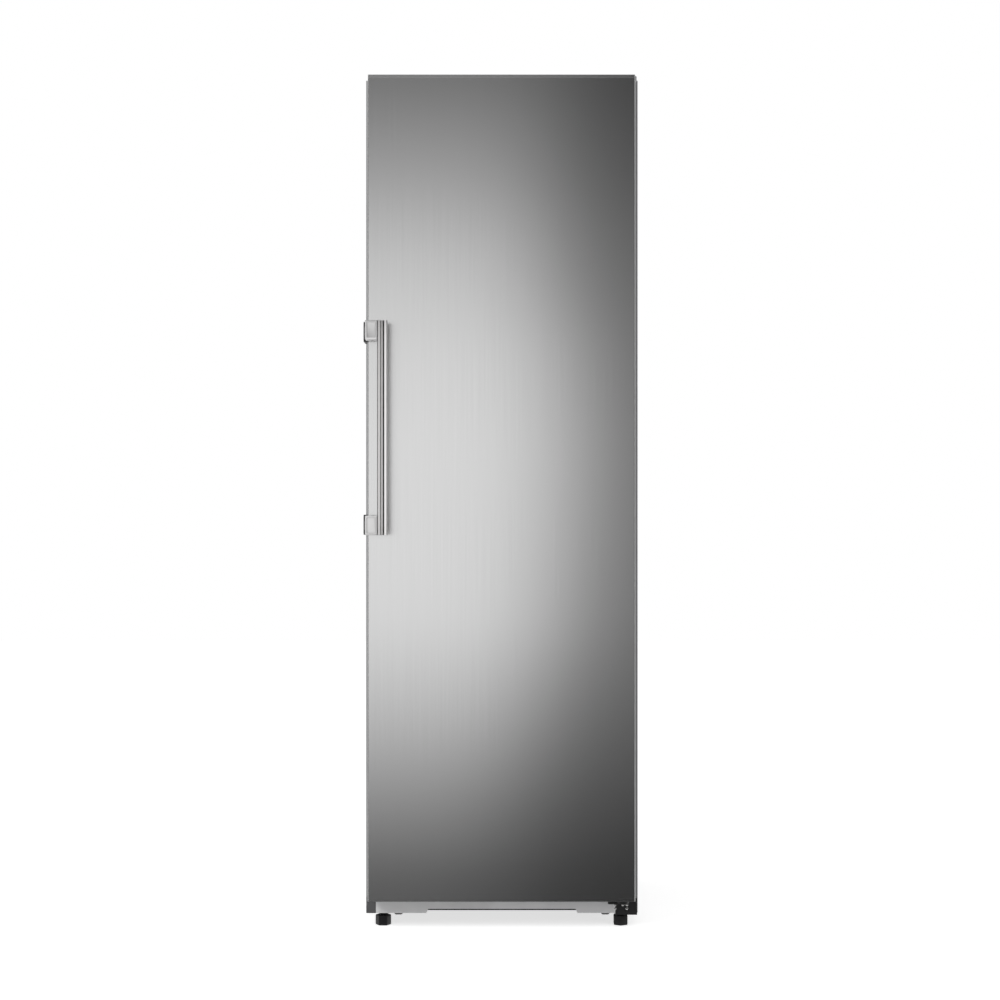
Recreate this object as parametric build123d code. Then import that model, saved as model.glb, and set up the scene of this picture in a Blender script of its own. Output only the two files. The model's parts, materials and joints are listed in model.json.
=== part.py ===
from build123d import *
import math
import os

# Tall larder refrigerator with one stainless door hinged on the right and a lever handle on the left.
# Millimetres. X runs across the front, Y from the front to the wall, Z up from the floor.
# The origin is on the floor, below the middle of the overall depth and of the cabinet's width.

# Cabinet
cabinet_width = 595.0
cabinet_top = 1853.0
cabinet_depth = 560.0
sides_above_floor = 30.0
sheet = 1.0
flange_width = 50.0
side_insulation = 55.0
top_insulation = 60.0
rear_insulation = 60.0
floor_above_ground = 115.0
liner_wall = 2.0
liner_corner = 14.0

# Door
door_bottom = 68.0
door_below_top = 2.0
door_thickness = 60.0
door_left_margin = 8.0
door_right_margin = 10.0
door_sheet = 1.0
door_edge_radius = 3.0
gasket_gap = 14.0
gasket_width = 18.0
gasket_from_door_foot = 25.0
gasket_clearance = 0.3
top_cap_lip = 7.5
bottom_cap_lip = 2.0
cap_plug = 6.0
boss_wall = 4.0
rim_depth = 10.0
rim_wall = 2.5
dyke_height = 45.0
dyke_wall = 12.0
dyke_from_wall = 10.0
dyke_corner = 16.0
dyke_draft = 2.0

# Hinges
hinge_from_edge = 24.0
hinge_from_front = 37.0
pin_radius = 4.0
pin_reach = 16.0
bush_half = 7.0
bush_depth = 18.0
running_fit = 0.05
arm_radius = 12.0
arm_plate = 4.0
arm_underside = 58.0
stop_reach = 17.0
stop_from_front = 24.0
stop_width = 10.0
stop_plate = 5.0
upper_plate = 3.0
upper_neck = 14.0
upper_shoulder = 10.0
upper_foot_depth = 42.0
bracket_width = 48.0
bracket_plate = 4.0
bracket_from_side = 1.5
hinge_cover_height = 12.0
hinge_cover_wall = 2.5
hinge_cover_depth = 82.0
hinge_cover_setback = 2.0
hinge_cover_overhang = 30.0
hinge_cover_corner = 6.0
screw_radius = 3.2
screw_head = 2.2

# Foot end of the cabinet
pan_sheet = 2.0
pan_underside = 55.0
pan_front_bottom = 35.5
pan_front_top = 106.0
plinth_top = 88.0
plinth_projection = 6.0
plinth_wall = 2.5
plinth_notch_from_side = 131.5
plinth_notch_height = 9.4
corner_cover_width = 21.7
corner_cover_wall = 2.0
corner_cover_below_plinth = 22.0
foot_across_corners = 35.0
foot_pad_height = 22.0
foot_from_side = 36.5
foot_from_front = 22.0
stud_radius = 5.0
boss_radius = 11.0
roller_from_side = 68.9
roller_width = 19.0
roller_tread = 13.5
front_roller_radius = 15.0
front_roller_lift = 17.0
front_roller_from_front = 46.0
rear_roller_radius = 20.0
rear_roller_from_back = 36.0
roller_axle_radius = 4.0
roller_side_gap = 0.3
ear_plate = 2.5
ear_half = 9.0

# Machine compartment
compartment_depth = 188.0
compartment_roof = 300.0
step_insulation = 43.0
compressor_x = 60.0
compressor_from_bulkhead = 100.0
compressor_radius = 72.0
compressor_height = 150.0
compressor_lift = 15.0
compressor_seam = 0.46
compressor_plate = 3.0
compressor_plate_half_width = 104.0
compressor_plate_half_depth = 56.0
grommet_from_middle = 88.0
grommet_from_axis = 44.0
relay_width = 46.0
relay_depth = 44.0
relay_height = 46.0
relay_lift = 20.0
tray_height = 28.0
tray_half_width = 92.0
tray_front_reach = 60.0
tray_back_reach = 78.0
tray_wall = 2.0
tray_corner = 10.0
grommet_radius = 12.0
grommet_neck = 7.0
stub_reach = 12.0
stub_lift = 100.0
stub_from_axis = 20.0
dryer_radius = 10.0
dryer_length = 96.0
dryer_from_compressor = 190.0
dryer_from_back = 40.0
dryer_lift = 20.0
dryer_neck_radius = 3.5
dryer_neck = 8.0
pipe_radius = 3.0
tube_bend = 11.0
discharge_reach = 70.0
discharge_drop = 60.0
suction_reach = 40.0
riser_gap = 24.0
inlet_from_side = 41.5
inlet_width = 50.0
inlet_height = 32.0
inlet_depth = 26.0
inlet_above_roof = 20.0
inlet_wall = 6.0
inlet_end_wall = 8.0
inlet_pin_length = 16.0
inlet_pin_width = 2.0
inlet_pin_height = 4.0
drain_radius = 7.0
drain_from_wall = 16.0
drain_below_roof = 12.0
trough_depth = 7.0
trough_width = 24.0
trough_half_length = 150.0
evaporator_half_width = 180.0
evaporator_bottom = 640.0
evaporator_height = 760.0
evaporator_sheet = 2.0
evaporator_depth = 8.0
evaporator_passes = 8
evaporator_margin = 51.0
evaporator_channel = 10.0
evaporator_channel_inset = 15.0
evaporator_play = 0.2

# Condenser on the rear wall
condenser_standoff = 20.0
rear_spacer_depth = 41.0
condenser_tube_radius = 2.5
condenser_passes = 14
condenser_pitch = 84.0
condenser_bottom = 420.0
condenser_half_width = 170.0
wire = 1.4
wire_pitch = 15.0
wire_overhang = 14.0
clip_inset = 8.0
clip_half_width = 6.0
clip_half_height = 10.0

# Shelves and drawers
shelf_count = 5
top_shelf_space = 384.0
rib_depth = 8.0
rib_height = 8.0
rib_extra_levels = 1
glass_thickness = 4.0
glass_side_gap = 1.0
shelf_front_setback = 92.0
trim_height = 12.0
trim_depth = 18.0
trim_wall = 2.5
rear_stop_depth = 12.0
rear_stop_height = 26.0
rear_stop_plate = 2.0
shelf_rear_gap = 20.0
drawer_height = 205.0
drawer_wall = 2.5
drawer_seat = 0.3
drawer_gap = 2.0
drawer_end_gap = 2.0
drawer_front_plate = 8.0
drawer_side_inset = 3.0
drawer_rim_drop = 8.0
drawer_rim = 3.0
grip_inset = 40.0
grip_reach = 12.0
grip_drop = 15.0

# Door racks
rack_depth = 96.0
rack_height = 74.0
rack_wall = 3.0
rack_count = 4
top_rack_space = 237.0
first_rack_bottom = 760.0
bottle_rack_bottom = 356.0
bottle_rack_height = 112.0
rack_side_gap = 0.5
rack_corner = 16.0
rack_low_side = 0.6
rack_to_dyke = 2.5
lug_height = 8.0
lug_reach = 6.0
lug_setback = 6.0
guard_width = 22.0
guard_clearance = 0.3
guard_wall = 2.7
guard_drop = 26.0
guard_blade = 3.0
guard_reach = 70.0

# Air, light and controls
fan_below_roof = 183.0
fan_housing_width = 210.0
fan_housing_depth = 40.0
fan_wall = 2.5
fan_radius = 62.0
fan_blades = 5
fan_hub_radius = 20.0
blade_pitch = 35.0
blade_thickness = 2.0
fan_housing_corner = 22.0
grille_rings = 2
grille_spokes = 12
grille_hub = 24.0
grille_slot = 18.0
grille_bar = 4.0
vent_half_length = 60.0
vent_width = 4.5
vent_pitch = 8.0
vent_from_front = 12.0
vent_count = 3
motor_radius = 26.0
motor_depth = 10.0
shaft_radius = 3.0
shaft_length = 14.0
panel_half_width = 150.0
panel_depth = 150.0
panel_height = 34.0
panel_rear_height = 14.0
panel_wall = 2.5
panel_from_front = 42.0
panel_nose = 16.0
display_left = -60.0
display_right = 20.0
display_half_height = 8.0
display_recess = 0.4
first_button = 52.0
button_width = 16.0
button_height = 9.0
button_pitch = 24.0
button_proud = 1.5
button_side_gap = 0.3
button_below_roof = 20.0
lens_height = 8.0
lens_half_width = 120.0
lens_depth = 60.0
lens_from_panel = 20.0

# Handle
handle_bottom = 859.0
handle_top = 1318.0
handle_projection = 48.0
handle_block_height = 43.0
handle_block_width = 26.3
bar_width = 21.5
bar_depth = 14.0
bar_overhang_left = 8.8
lever_wall = 3.0
lever_back_gap = 5.5
pivot_radius = 2.5
pivot_inset = 10.5
pivot_proud = 14.5
handle_block_overhang = 3.0
pusher_from_door = 6.5
pusher_width = 4.4
pusher_height = 12.0
pusher_rest_gap = 4.5
pusher_clearance = 0.3
housing_length = 59.0
housing_corner = 2.0
link_plate = 1.5
link_inset = 3.0
knuckle_half = 6.5
knuckle_front = 5.0
knuckle_height = 26.0

# Places worked out from the sizes above
x_side = cabinet_width / 2
overall_depth = handle_projection + door_thickness + gasket_gap + cabinet_depth + rear_spacer_depth
y_handle = -overall_depth / 2
y_door = y_handle + handle_projection
y_door_back = y_door + door_thickness
y_front = y_door_back + gasket_gap
y_back = y_front + cabinet_depth
y_rear = y_back + rear_spacer_depth
door_left = -x_side + door_left_margin
door_right = x_side - door_right_margin
x_in = x_side - sheet
door_top = cabinet_top - door_below_top
x_flange = x_side - flange_width
x_liner = x_side - side_insulation - liner_wall
y_liner = y_back - rear_insulation - liner_wall
liner_top = cabinet_top - top_insulation
y_compartment = y_back - compartment_depth
step_top = compartment_roof + step_insulation + liner_wall
y_step = y_compartment - step_insulation - liner_wall
pan_top = pan_underside + pan_sheet
hinge_x = door_right - hinge_from_edge
hinge_y = y_door + hinge_from_front
bracket_right = x_side - bracket_from_side
bracket_left = bracket_right - bracket_width
shelf_front = y_front + shelf_front_setback
shelf_rear = y_liner - shelf_rear_gap
shelf_pitch = (liner_top - top_shelf_space - step_top) / (shelf_count - 1)
shelf_levels = [step_top + n * shelf_pitch for n in range(shelf_count)]
gasket_outer = x_liner + liner_wall + 2 + gasket_width
x_dyke = x_liner - dyke_from_wall
foot_from_middle = x_side - foot_from_side
foot_y = y_front + foot_from_front
roller_from_middle = x_side - roller_from_side
plinth_notch_half = x_side - plinth_notch_from_side
fan_height = liner_top - fan_below_roof
drain_x = compressor_x
drain_y = y_liner - drain_from_wall
drain_end = compartment_roof - drain_below_roof
compressor_y = y_compartment + compressor_from_bulkhead
compressor_base = pan_top + compressor_lift
condenser_y = y_back + condenser_standoff
condenser_levels = [condenser_bottom + n * condenser_pitch for n in range(condenser_passes)]
evaporator_top = evaporator_bottom + evaporator_height
evaporator_y = y_liner + liner_wall + evaporator_play
dryer_x = compressor_x - dryer_from_compressor
dryer_y = y_back - dryer_from_back
dryer_base = compressor_base + dryer_lift
dryer_top = dryer_base + dryer_length
panel_y = y_front + panel_from_front
button_z = liner_top - button_below_roof
rim_bottom = door_bottom + bottom_cap_lip
rim_top = door_top - top_cap_lip
dyke_bottom = floor_above_ground + dyke_from_wall
dyke_top = liner_top - dyke_from_wall
rack_pitch = (dyke_top - top_rack_space - first_rack_bottom) / (rack_count - 1)
rack_bottoms = [bottle_rack_bottom] + [first_rack_bottom + n * rack_pitch for n in range(rack_count)]
pivot_x = door_left + pivot_inset
pivot_y = y_door - pivot_proud
block_left = door_left - handle_block_overhang
block_right = block_left + handle_block_width
lever_back = y_door - lever_back_gap
lever_front = y_handle + 1.5
pusher_left = door_left - pusher_from_door


def block(x0, x1, y0, y1, z0, z1):
    """A box between two corners."""
    place = Pos((x0 + x1) / 2, (y0 + y1) / 2, (z0 + z1) / 2)
    return place * Box(x1 - x0, y1 - y0, z1 - z0)


def rod(radius, x, y, z0, z1):
    """An upright round bar."""
    return Pos(x, y, (z0 + z1) / 2) * Cylinder(radius, z1 - z0)


def rod_x(radius, x0, x1, y, z):
    """A round bar along X."""
    return Pos((x0 + x1) / 2, y, z) * Rot(0, 90, 0) * Cylinder(radius, x1 - x0)


def rod_y(radius, x, y0, y1, z):
    """A round bar along Y."""
    return Pos(x, (y0 + y1) / 2, z) * Rot(90, 0, 0) * Cylinder(radius, y1 - y0)


def side_profile(points, x0, x1):
    """A closed outline of (y, z) points, drawn from the side and extruded across the cabinet."""
    face = make_face(Polyline(*[(x0, y, z) for y, z in points], close=True))
    return extrude(face, amount=x1 - x0, dir=(1, 0, 0))


def plan_profile(points, z0, z1):
    """A closed outline of (x, y) points, drawn from above and extruded upwards."""
    face = make_face(Polyline(*[(x, y, z0) for x, y in points], close=True))
    return extrude(face, amount=z1 - z0, dir=(0, 0, 1))


def front_profile(points, y0, y1):
    """A closed outline of (x, z) points, drawn from the front and extruded towards the wall."""
    face = make_face(Polyline(*[(x, y0, z) for x, z in points], close=True))
    return extrude(face, amount=y1 - y0, dir=(0, 1, 0))


def along(shape, axis, test=None):
    """The straight edges of a shape that run along an axis, or those of them that pass a test."""
    edges = shape.edges().filter_by(axis)
    return edges.filter_by(test) if test else edges


def group(pieces):
    """Separate solids that share one node."""
    return Compound(children=[solid for piece in pieces for solid in piece.solids()])


def divided(shape, boxes):
    """A thin-walled moulding as touching solids: what lies in each box in turn, and then the rest."""
    solids = []
    for box in boxes:
        solids += (shape & box).solids()
        shape -= box
    return solids + list(shape.solids())


def prism(radius, height, sides, bore=False):
    """An upright bar with flat sides inside a circle, or a bore whose flats lie outside of the circle."""
    return extrude(RegularPolygon(radius, sides, major_radius=not bore), amount=height)


def pipe(points, radius, transition=Transition.RIGHT):
    """A six-sided tube along a path; two of its flats are square to Y on every level or upright run."""
    path = Polyline(*points)
    section = Plane(origin=path @ 0, z_dir=path % 0, x_dir=(0, 1, 0))
    return sweep(section * RegularPolygon(radius, 6, rotation=30), path=path, transition=transition)


def rounded_route(points, bend, steps=3):
    """A route through corners, each of them cut into a bend of a few straight steps."""
    route = [Vector(*points[0])]
    for before, corner, after in zip(points, points[1:], points[2:]):
        here = Vector(*corner)
        towards = (Vector(*before) - here).normalized()
        away = (Vector(*after) - here).normalized()
        centre = here + (towards + away) * bend
        for n in range(steps + 1):
            angle = math.radians(90 * n / steps)
            route.append(centre - away * bend * math.cos(angle) - towards * bend * math.sin(angle))
    return route + [Vector(*points[-1])]


# Cabinet

def cabinet_shell():
    outer = block(-x_side, x_side, y_front, y_back, sides_above_floor, cabinet_top)
    edges = along(outer, Axis.Z, lambda e: e.center().Y < 0)
    edges += along(outer, Axis.X, lambda e: e.center().Y < 0 and e.center().Z > cabinet_top - 1)
    outer = fillet(edges, 2 * sheet)
    inner = block(-x_in, x_in, y_front + sheet, y_back + 1, sides_above_floor - 1, cabinet_top - sheet)
    flange_foot = liner_top + liner_wall + (side_insulation - flange_width)
    opening = block(-x_flange, x_flange, y_front - 1, y_back, sides_above_floor - 1, flange_foot)
    return outer - inner - opening


def back_panel():
    wall = block(-x_in, x_in, y_back - sheet, y_back, compartment_roof, cabinet_top - sheet)
    roof = block(-x_in, x_in, y_compartment, y_back, compartment_roof - sheet, compartment_roof)
    drop = block(-x_in, x_in, y_compartment - sheet, y_compartment, pan_top, compartment_roof)
    return wall + roof + drop - rod(drain_radius, drain_x, drain_y, 0, compartment_roof + 1)


def liner_form(grow):
    """The inside of the cold space, grown outwards by a wall: a room with a step over the machine."""
    half = x_liner + grow
    radius = liner_corner + grow
    room = block(-half, half, y_front, y_liner + grow, step_top - grow, liner_top + grow)
    edges = along(room, Axis.Y, lambda e: e.center().Z > liner_top - 1)
    edges += along(room, Axis.Z, lambda e: e.center().Y > y_liner - 1)
    room = fillet(edges, radius)
    well = block(-half, half, y_front, y_step + grow, floor_above_ground - grow, step_top + liner_wall)
    well = fillet(along(well, Axis.Y, lambda e: e.center().Z < step_top - 20), radius)
    y1 = y_liner - 2
    trough = block(drain_x - trough_half_length - grow, drain_x + trough_half_length + grow,
                   y1 - trough_width - grow, y1, step_top - trough_depth - grow, step_top + liner_wall)
    return room + well + trough


def side_rib(level, side):
    """One moulded rib on a side wall: level on top, where the glass rests, and sloped below."""
    wall = x_liner + liner_wall / 2
    outline = [
        (side * wall, level),
        (side * (x_liner - rib_depth), level),
        (side * (x_liner - rib_depth + 2), level - rib_height),
        (side * wall, level - rib_height - 6),
    ]
    y1 = y_step + 1 if level < step_top + 1 else shelf_rear - 4
    return front_profile(outline, shelf_front + trim_depth + 4, y1)


def cabinet_liner():
    lip = block(-x_flange, x_flange, y_front, y_front + liner_wall, pan_front_top,
                liner_top + liner_wall + (side_insulation - flange_width))
    spout = rod(drain_radius, drain_x, drain_y, drain_end, step_top - trough_depth - 1)
    liner = liner_form(liner_wall) + lip + spout - liner_form(0)
    liner -= rod(drain_radius - 2, drain_x, drain_y, drain_end - 1, step_top)
    rib_count = 2 * (shelf_count - 1) + rib_extra_levels + 1
    for n in range(rib_count):
        level = step_top + n * shelf_pitch / 2
        liner += [side_rib(level, side) for side in (-1, 1)]
    return group(divided(liner, liner_regions()))


def liner_regions():
    """Rear wall, roof, drain spout, tread and riser of the step, rounded floor edges, floor, low walls."""
    def region(y0, y1, z0, z1):
        return block(-x_side, x_side, y0, y1, z0, z1)

    y0 = y_front - 1
    x_arc = x_liner - liner_corner
    z_arc = floor_above_ground + liner_corner
    y_tread = y_step + liner_wall
    return [
        region(y_liner - liner_corner, y_back, step_top, cabinet_top),
        region(y0, y_back, liner_top - liner_corner, cabinet_top),
        region(y_tread, y_back, 0, step_top - trough_depth - liner_wall),
        region(y_tread, y_back, 0, step_top),
        region(y_step, y_tread, 0, step_top),
        block(-x_side, -x_arc, y0, y_back, 0, z_arc),
        block(x_arc, x_side, y0, y_back, 0, z_arc),
        region(y0, y_back, 0, z_arc),
        region(y0, y_back, 0, step_top),
    ]


def evaporator_plate():
    """A plate behind the rear wall of the liner, with its channel in level runs."""
    half = evaporator_half_width
    y0, y1 = evaporator_y, evaporator_y + evaporator_sheet
    plate = block(-half, half, y0, y1, evaporator_bottom, evaporator_top)
    half -= evaporator_channel_inset
    pitch = (evaporator_height - 2 * evaporator_margin) / (evaporator_passes - 1)
    for n in range(evaporator_passes):
        z0 = evaporator_bottom + evaporator_margin + n * pitch - evaporator_channel / 2
        plate += block(-half, half, y1 - 1, y0 + evaporator_depth, z0, z0 + evaporator_channel)
    return plate


def cabinet_insulation():
    foam = block(-x_in, x_in, y_front + liner_wall, y_back - sheet, pan_top, cabinet_top - sheet)
    foam -= block(-x_side, x_side, y_compartment - sheet, y_back, 0, compartment_roof)
    foam -= liner_form(liner_wall)
    foam -= rod(drain_radius, drain_x, drain_y, 0, step_top)
    play = evaporator_play
    half = evaporator_half_width + play
    return foam - block(-half, half, y_liner, evaporator_y + evaporator_depth + play,
                        evaporator_bottom - play, evaporator_top + play)


def base_pan():
    pan = block(-x_in, x_in, y_front + pan_sheet, y_back, pan_underside, pan_top)
    pan += block(-x_flange, x_flange, y_front, y_front + pan_sheet, pan_front_bottom, pan_front_top)
    pan += block(-x_in, x_in, y_back - pan_sheet, y_back, sides_above_floor, pan_top)
    for side in (-1, 1):
        boss_x = side * foot_from_middle
        boss = prism(boss_radius, pan_underside - sides_above_floor, 8)
        pan += Pos(boss_x, foot_y, sides_above_floor) * boss
        for y, z, _ in roller_places():
            inner = roller_width / 2 + roller_side_gap
            for end in (-1, 1):
                x0 = side * roller_from_middle + end * (inner + ear_plate / 2)
                a, b = x0 - ear_plate / 2, x0 + ear_plate / 2
                ear = block(a, b, y - ear_half, y + ear_half, z - ear_half, pan_underside)
                ear = chamfer(along(ear, Axis.X, lambda e: e.center().Z < z), 4)
                r = roller_axle_radius
                pan += ear - block(a - 1, b + 1, y - r, y + r, z - ear_half - 1, z + r)
    for side in (-1, 1):
        pan -= rod(stud_radius + running_fit, side * foot_from_middle, foot_y, 0, pan_underside)
    return pan


def roller_places():
    """The middle (y, z) of the front and rear rollers, with the radius of each."""
    front = (y_front + front_roller_from_front, front_roller_lift + front_roller_radius, front_roller_radius)
    rear = (y_back - rear_roller_from_back, rear_roller_radius, rear_roller_radius)
    return [front, rear]


def plinth():
    z0 = sides_above_floor
    x0 = -x_side + corner_cover_width
    x1 = bracket_left
    y0 = y_front - plinth_projection
    plate = block(x0, x1, y0, y_front, z0, plinth_top)
    plate = fillet(along(plate, Axis.X, lambda e: e.center().Y < y0 + 1), 1.5)
    plate -= block(x0 + plinth_wall, x1 - plinth_wall, y0 + plinth_wall, y_front + 1,
                   z0 + plinth_wall, plinth_top - plinth_wall)
    half = plinth_notch_half
    notch = [
        (-half, z0 - 1),
        (-half + 5, z0 + plinth_notch_height),
        (half - 5, z0 + plinth_notch_height),
        (half, z0 - 1),
    ]
    return plate - front_profile(notch, y0 - 1, y_front + 1)


def corner_cover():
    x0 = -x_side + 0.5
    x1 = -x_side + corner_cover_width
    y0 = y_front - plinth_projection
    w = corner_cover_wall
    z1 = plinth_top - corner_cover_below_plinth
    cover = block(x0, x1, y0, y_front, sides_above_floor, z1)
    cover = fillet(along(cover, Axis.Z, lambda e: e.center().Y < y0 + 1), w)
    return cover - block(x0 + w, x1 - w, y0 + w, y_front + 1, sides_above_floor - 1, z1 - w)


# Hinges

def lower_hinge_bracket():
    x0, x1 = bracket_left, bracket_right
    y0 = y_front - bracket_plate
    z0 = sides_above_floor - bracket_plate
    z1 = arm_underside + arm_plate
    upright = block(x0, x1, y0, y_front, z0, z1)
    foot = block(x0, x1, y0, foot_y + boss_radius + 4, z0, sides_above_floor)
    arm = block(hinge_x - arm_radius, hinge_x + arm_radius, hinge_y, y_front, arm_underside, z1)
    arm += rod(arm_radius, hinge_x, hinge_y, arm_underside, z1)
    y1 = y_front - stop_from_front
    stop = block(x0 - stop_reach, hinge_x, y1, y1 + stop_width, arm_underside - stop_plate, arm_underside)
    stop = fillet(along(stop, Axis.Z, lambda e: e.center().X < x0), 3)
    bracket = upright + foot + arm + stop
    bracket -= rod(pin_radius, hinge_x, hinge_y, 0, cabinet_top / 2)
    return bracket - rod(stud_radius + 1, foot_from_middle, foot_y, 0, sides_above_floor)


def upper_hinge_bracket():
    z0, z1 = cabinet_top, cabinet_top + upper_plate
    half = arm_radius
    y_neck = y_front + upper_shoulder
    y_foot = y_neck + upper_neck
    y_end = y_foot + upper_foot_depth
    outline = [
        (hinge_x - half, hinge_y),
        (hinge_x - half, y_neck),
        (hinge_x - 2 * half, y_foot),
        (hinge_x - 2 * half, y_end),
        (hinge_x + 2 * half, y_end),
        (hinge_x + 2 * half, y_foot),
        (hinge_x + half, y_neck),
        (hinge_x + half, hinge_y),
    ]
    plate = plan_profile(outline, z0, z1) + rod(half, hinge_x, hinge_y, z0, z1)
    return plate - rod(pin_radius, hinge_x, hinge_y, z0 - 1, z1 + 1)


def upper_hinge_cover():
    x0, x1 = hinge_x - hinge_cover_overhang, x_side - 2
    y0 = y_front + hinge_cover_setback
    y1 = y0 + hinge_cover_depth
    z0, z1 = cabinet_top, cabinet_top + hinge_cover_height
    cover = block(x0, x1, y0, y1, z0, z1)
    cover = chamfer(along(cover, Axis.Z), hinge_cover_corner)
    cover = chamfer(cover.faces().sort_by(Axis.Z)[-1].edges(), 2)
    w = hinge_cover_wall
    inside = block(x0 + w, x1 - w, y0 + w, y1 - w, z0 - 1, z1 - w)
    cover -= chamfer(along(inside, Axis.Z), hinge_cover_corner)
    half = arm_radius + 4.5
    return cover - block(hinge_x - half, hinge_x + half, y0 - 1, y0 + w + 1.5, z0 - 1, z0 + upper_plate + 2)


def hinge_pins():
    z_low = arm_underside
    z_shoulder = z_low + arm_plate
    shoulder = Pos(hinge_x, hinge_y, z_shoulder) * prism(bush_half, door_bottom - 0.3 - z_shoulder, 6)
    lower = rod(pin_radius, hinge_x, hinge_y, z_low, door_bottom + pin_reach) + shoulder
    upper = rod(pin_radius, hinge_x, hinge_y, door_top - pin_reach, cabinet_top + upper_plate)
    return group([lower, upper])


def screw(x, y, z, turn=Rot(0, 0, 0)):
    """The six-sided head of a screw, on the plate that it holds."""
    return Pos(x, y, z) * turn * prism(screw_radius, screw_head, 6)


def hinge_screws():
    forward = Rot(90, 0, 0)
    y0 = y_front - bracket_plate
    columns = (bracket_left + 10, bracket_left + 27, bracket_left + 36)
    rows = (sides_above_floor + 10, sides_above_floor + 18.5)
    heads = [screw(x, y0, z, forward) for x in (columns[0], columns[2]) for z in rows]
    heads.append(screw(columns[1], y0, rows[1], forward))
    top = cabinet_top + upper_plate
    y_near = y_front + upper_shoulder + upper_neck + 10
    for x, y in ((-16, y_near), (16, y_near), (0, y_near + 20)):
        heads.append(screw(hinge_x + x, y, top))
    return group(heads)


# Machine compartment

def grommet_places():
    return [(compressor_x + i * grommet_from_middle, compressor_y + j * grommet_from_axis)
            for i in (-1, 1) for j in (-1, 1)]


def stub_places():
    return [(compressor_y + side * stub_from_axis, compressor_base + stub_lift) for side in (-1, 1)]


def compressor():
    """A pot of two deep-drawn halves with a seam between them, on a foot plate."""
    r, h, sides = compressor_radius, compressor_height, 20
    seam = h * compressor_seam
    lower = prism(r * 0.97, seam, sides)
    lower = chamfer(lower.faces().sort_by(Axis.Z)[0].edges(), 12)
    rim = Pos(0, 0, seam) * prism(r * 1.05, 6, sides)
    upper = Pos(0, 0, seam + 6) * prism(r * 0.94, h - seam - 6, sides)
    upper = chamfer(upper.faces().sort_by(Axis.Z)[-1].edges(), 26, 34)
    body = Pos(compressor_x, compressor_y, compressor_base) * (lower + rim + upper)
    x0, x1 = compressor_x - compressor_plate_half_width, compressor_x + compressor_plate_half_width
    y0, y1 = compressor_y - compressor_plate_half_depth, compressor_y + compressor_plate_half_depth
    z0 = compressor_base - compressor_plate
    plate = block(x0, x1, y0, y1, z0, compressor_base)
    for y in (y0, y1):
        plate -= block(x0 + 38, x1 - 38, y - 20, y + 20, z0 - 1, compressor_base + 1)
    for x, y in grommet_places():
        plate -= Pos(x, y, z0 - 1) * prism(grommet_neck, compressor_plate + 2, 8)
    stubs = []
    for y, z in stub_places():
        stub = Pos(compressor_x - r - stub_reach, y, z) * Rot(0, 90, 0) * prism(pipe_radius + 1, r, 8)
        stubs.append(stub)
    return body + plate + stubs


def compressor_grommets():
    feet = []
    for x, y in grommet_places():
        foot = prism(grommet_radius, compressor_lift - compressor_plate, 8)
        foot += prism(grommet_neck, compressor_lift + 3, 8)
        feet.append(Pos(x, y, pan_top) * foot)
    return group(feet)


def relay_box():
    x0 = compressor_x + compressor_radius * 0.8
    x1 = x0 + relay_width
    z0 = compressor_base + relay_lift
    half = relay_depth / 2
    case = block(x0, x1, compressor_y - half, compressor_y + half, z0, z0 + relay_height)
    case = fillet(along(case, Axis.Z, lambda e: e.center().X > x1 - 1), 4)
    return case - compressor()


def drip_tray():
    w = tray_wall
    z0 = compressor_base + compressor_height
    z1 = z0 + tray_height
    x0, x1 = compressor_x - tray_half_width, compressor_x + tray_half_width
    y0, y1 = compressor_y - tray_front_reach, compressor_y + tray_back_reach
    tray = block(x0, x1, y0, y1, z0, z1)
    tray = chamfer(along(tray, Axis.Z), tray_corner)
    inside = block(x0 + w, x1 - w, y0 + w, y1 - w, z0 + w, z1 + 1)
    return tray - chamfer(along(inside, Axis.Z), tray_corner - w / 2)


def condenser():
    """One long tube folded into level passes, with upright wires welded on its front and back."""
    bend = condenser_pitch / 2
    steps = 5
    points = []
    for n, z in enumerate(condenser_levels):
        start = -1 if n % 2 == 0 else 1
        points.append((start * condenser_half_width, condenser_y, z))
        points.append((-start * condenser_half_width, condenser_y, z))
        if n < condenser_passes - 1:
            for k in range(1, steps):
                angle = math.radians(180 * k / steps - 90)
                x = condenser_half_width + bend * math.cos(angle)
                points.append((-start * x, condenser_y, z + bend + bend * math.sin(angle)))
    tube = pipe(points, condenser_tube_radius)
    wire_y = flat_of(condenser_tube_radius) + wire / 2
    half_count = int((condenser_half_width - 16) // wire_pitch)
    z0 = condenser_levels[0] - wire_overhang
    z1 = condenser_levels[-1] + wire_overhang
    wires = []
    for n in range(-half_count, half_count + 1):
        x = n * wire_pitch
        for side in (-1, 1):
            y = condenser_y + side * wire_y
            wires.append(block(x - wire / 2, x + wire / 2, y - wire / 2, y + wire / 2, z0, z1))
    return group([tube] + wires)


def flat_of(radius):
    """The distance from a six-sided bar's middle to its flats."""
    return radius * math.cos(math.radians(30))


def condenser_clips():
    """Stand-offs that hold the tube at its second lowest and second highest pass, off the room's wall."""
    grip = flat_of(condenser_tube_radius) + 0.02
    reach = condenser_tube_radius + 0.02
    clips = []
    for z in (condenser_levels[1], condenser_levels[-2]):
        for side in (-1, 1):
            x = side * (condenser_half_width - clip_inset)
            x0, x1 = x - clip_half_width, x + clip_half_width
            clip = block(x0, x1, y_back, y_rear, z - clip_half_height, z + clip_half_height)
            clip = chamfer(along(clip, Axis.X, lambda e: e.center().Y > y_rear - 1), 5)
            clip -= block(x0 - 1, x1 + 1, condenser_y - grip, condenser_y + grip, z - reach, z + reach)
            clips.append(clip)
    return group(clips)


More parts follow.
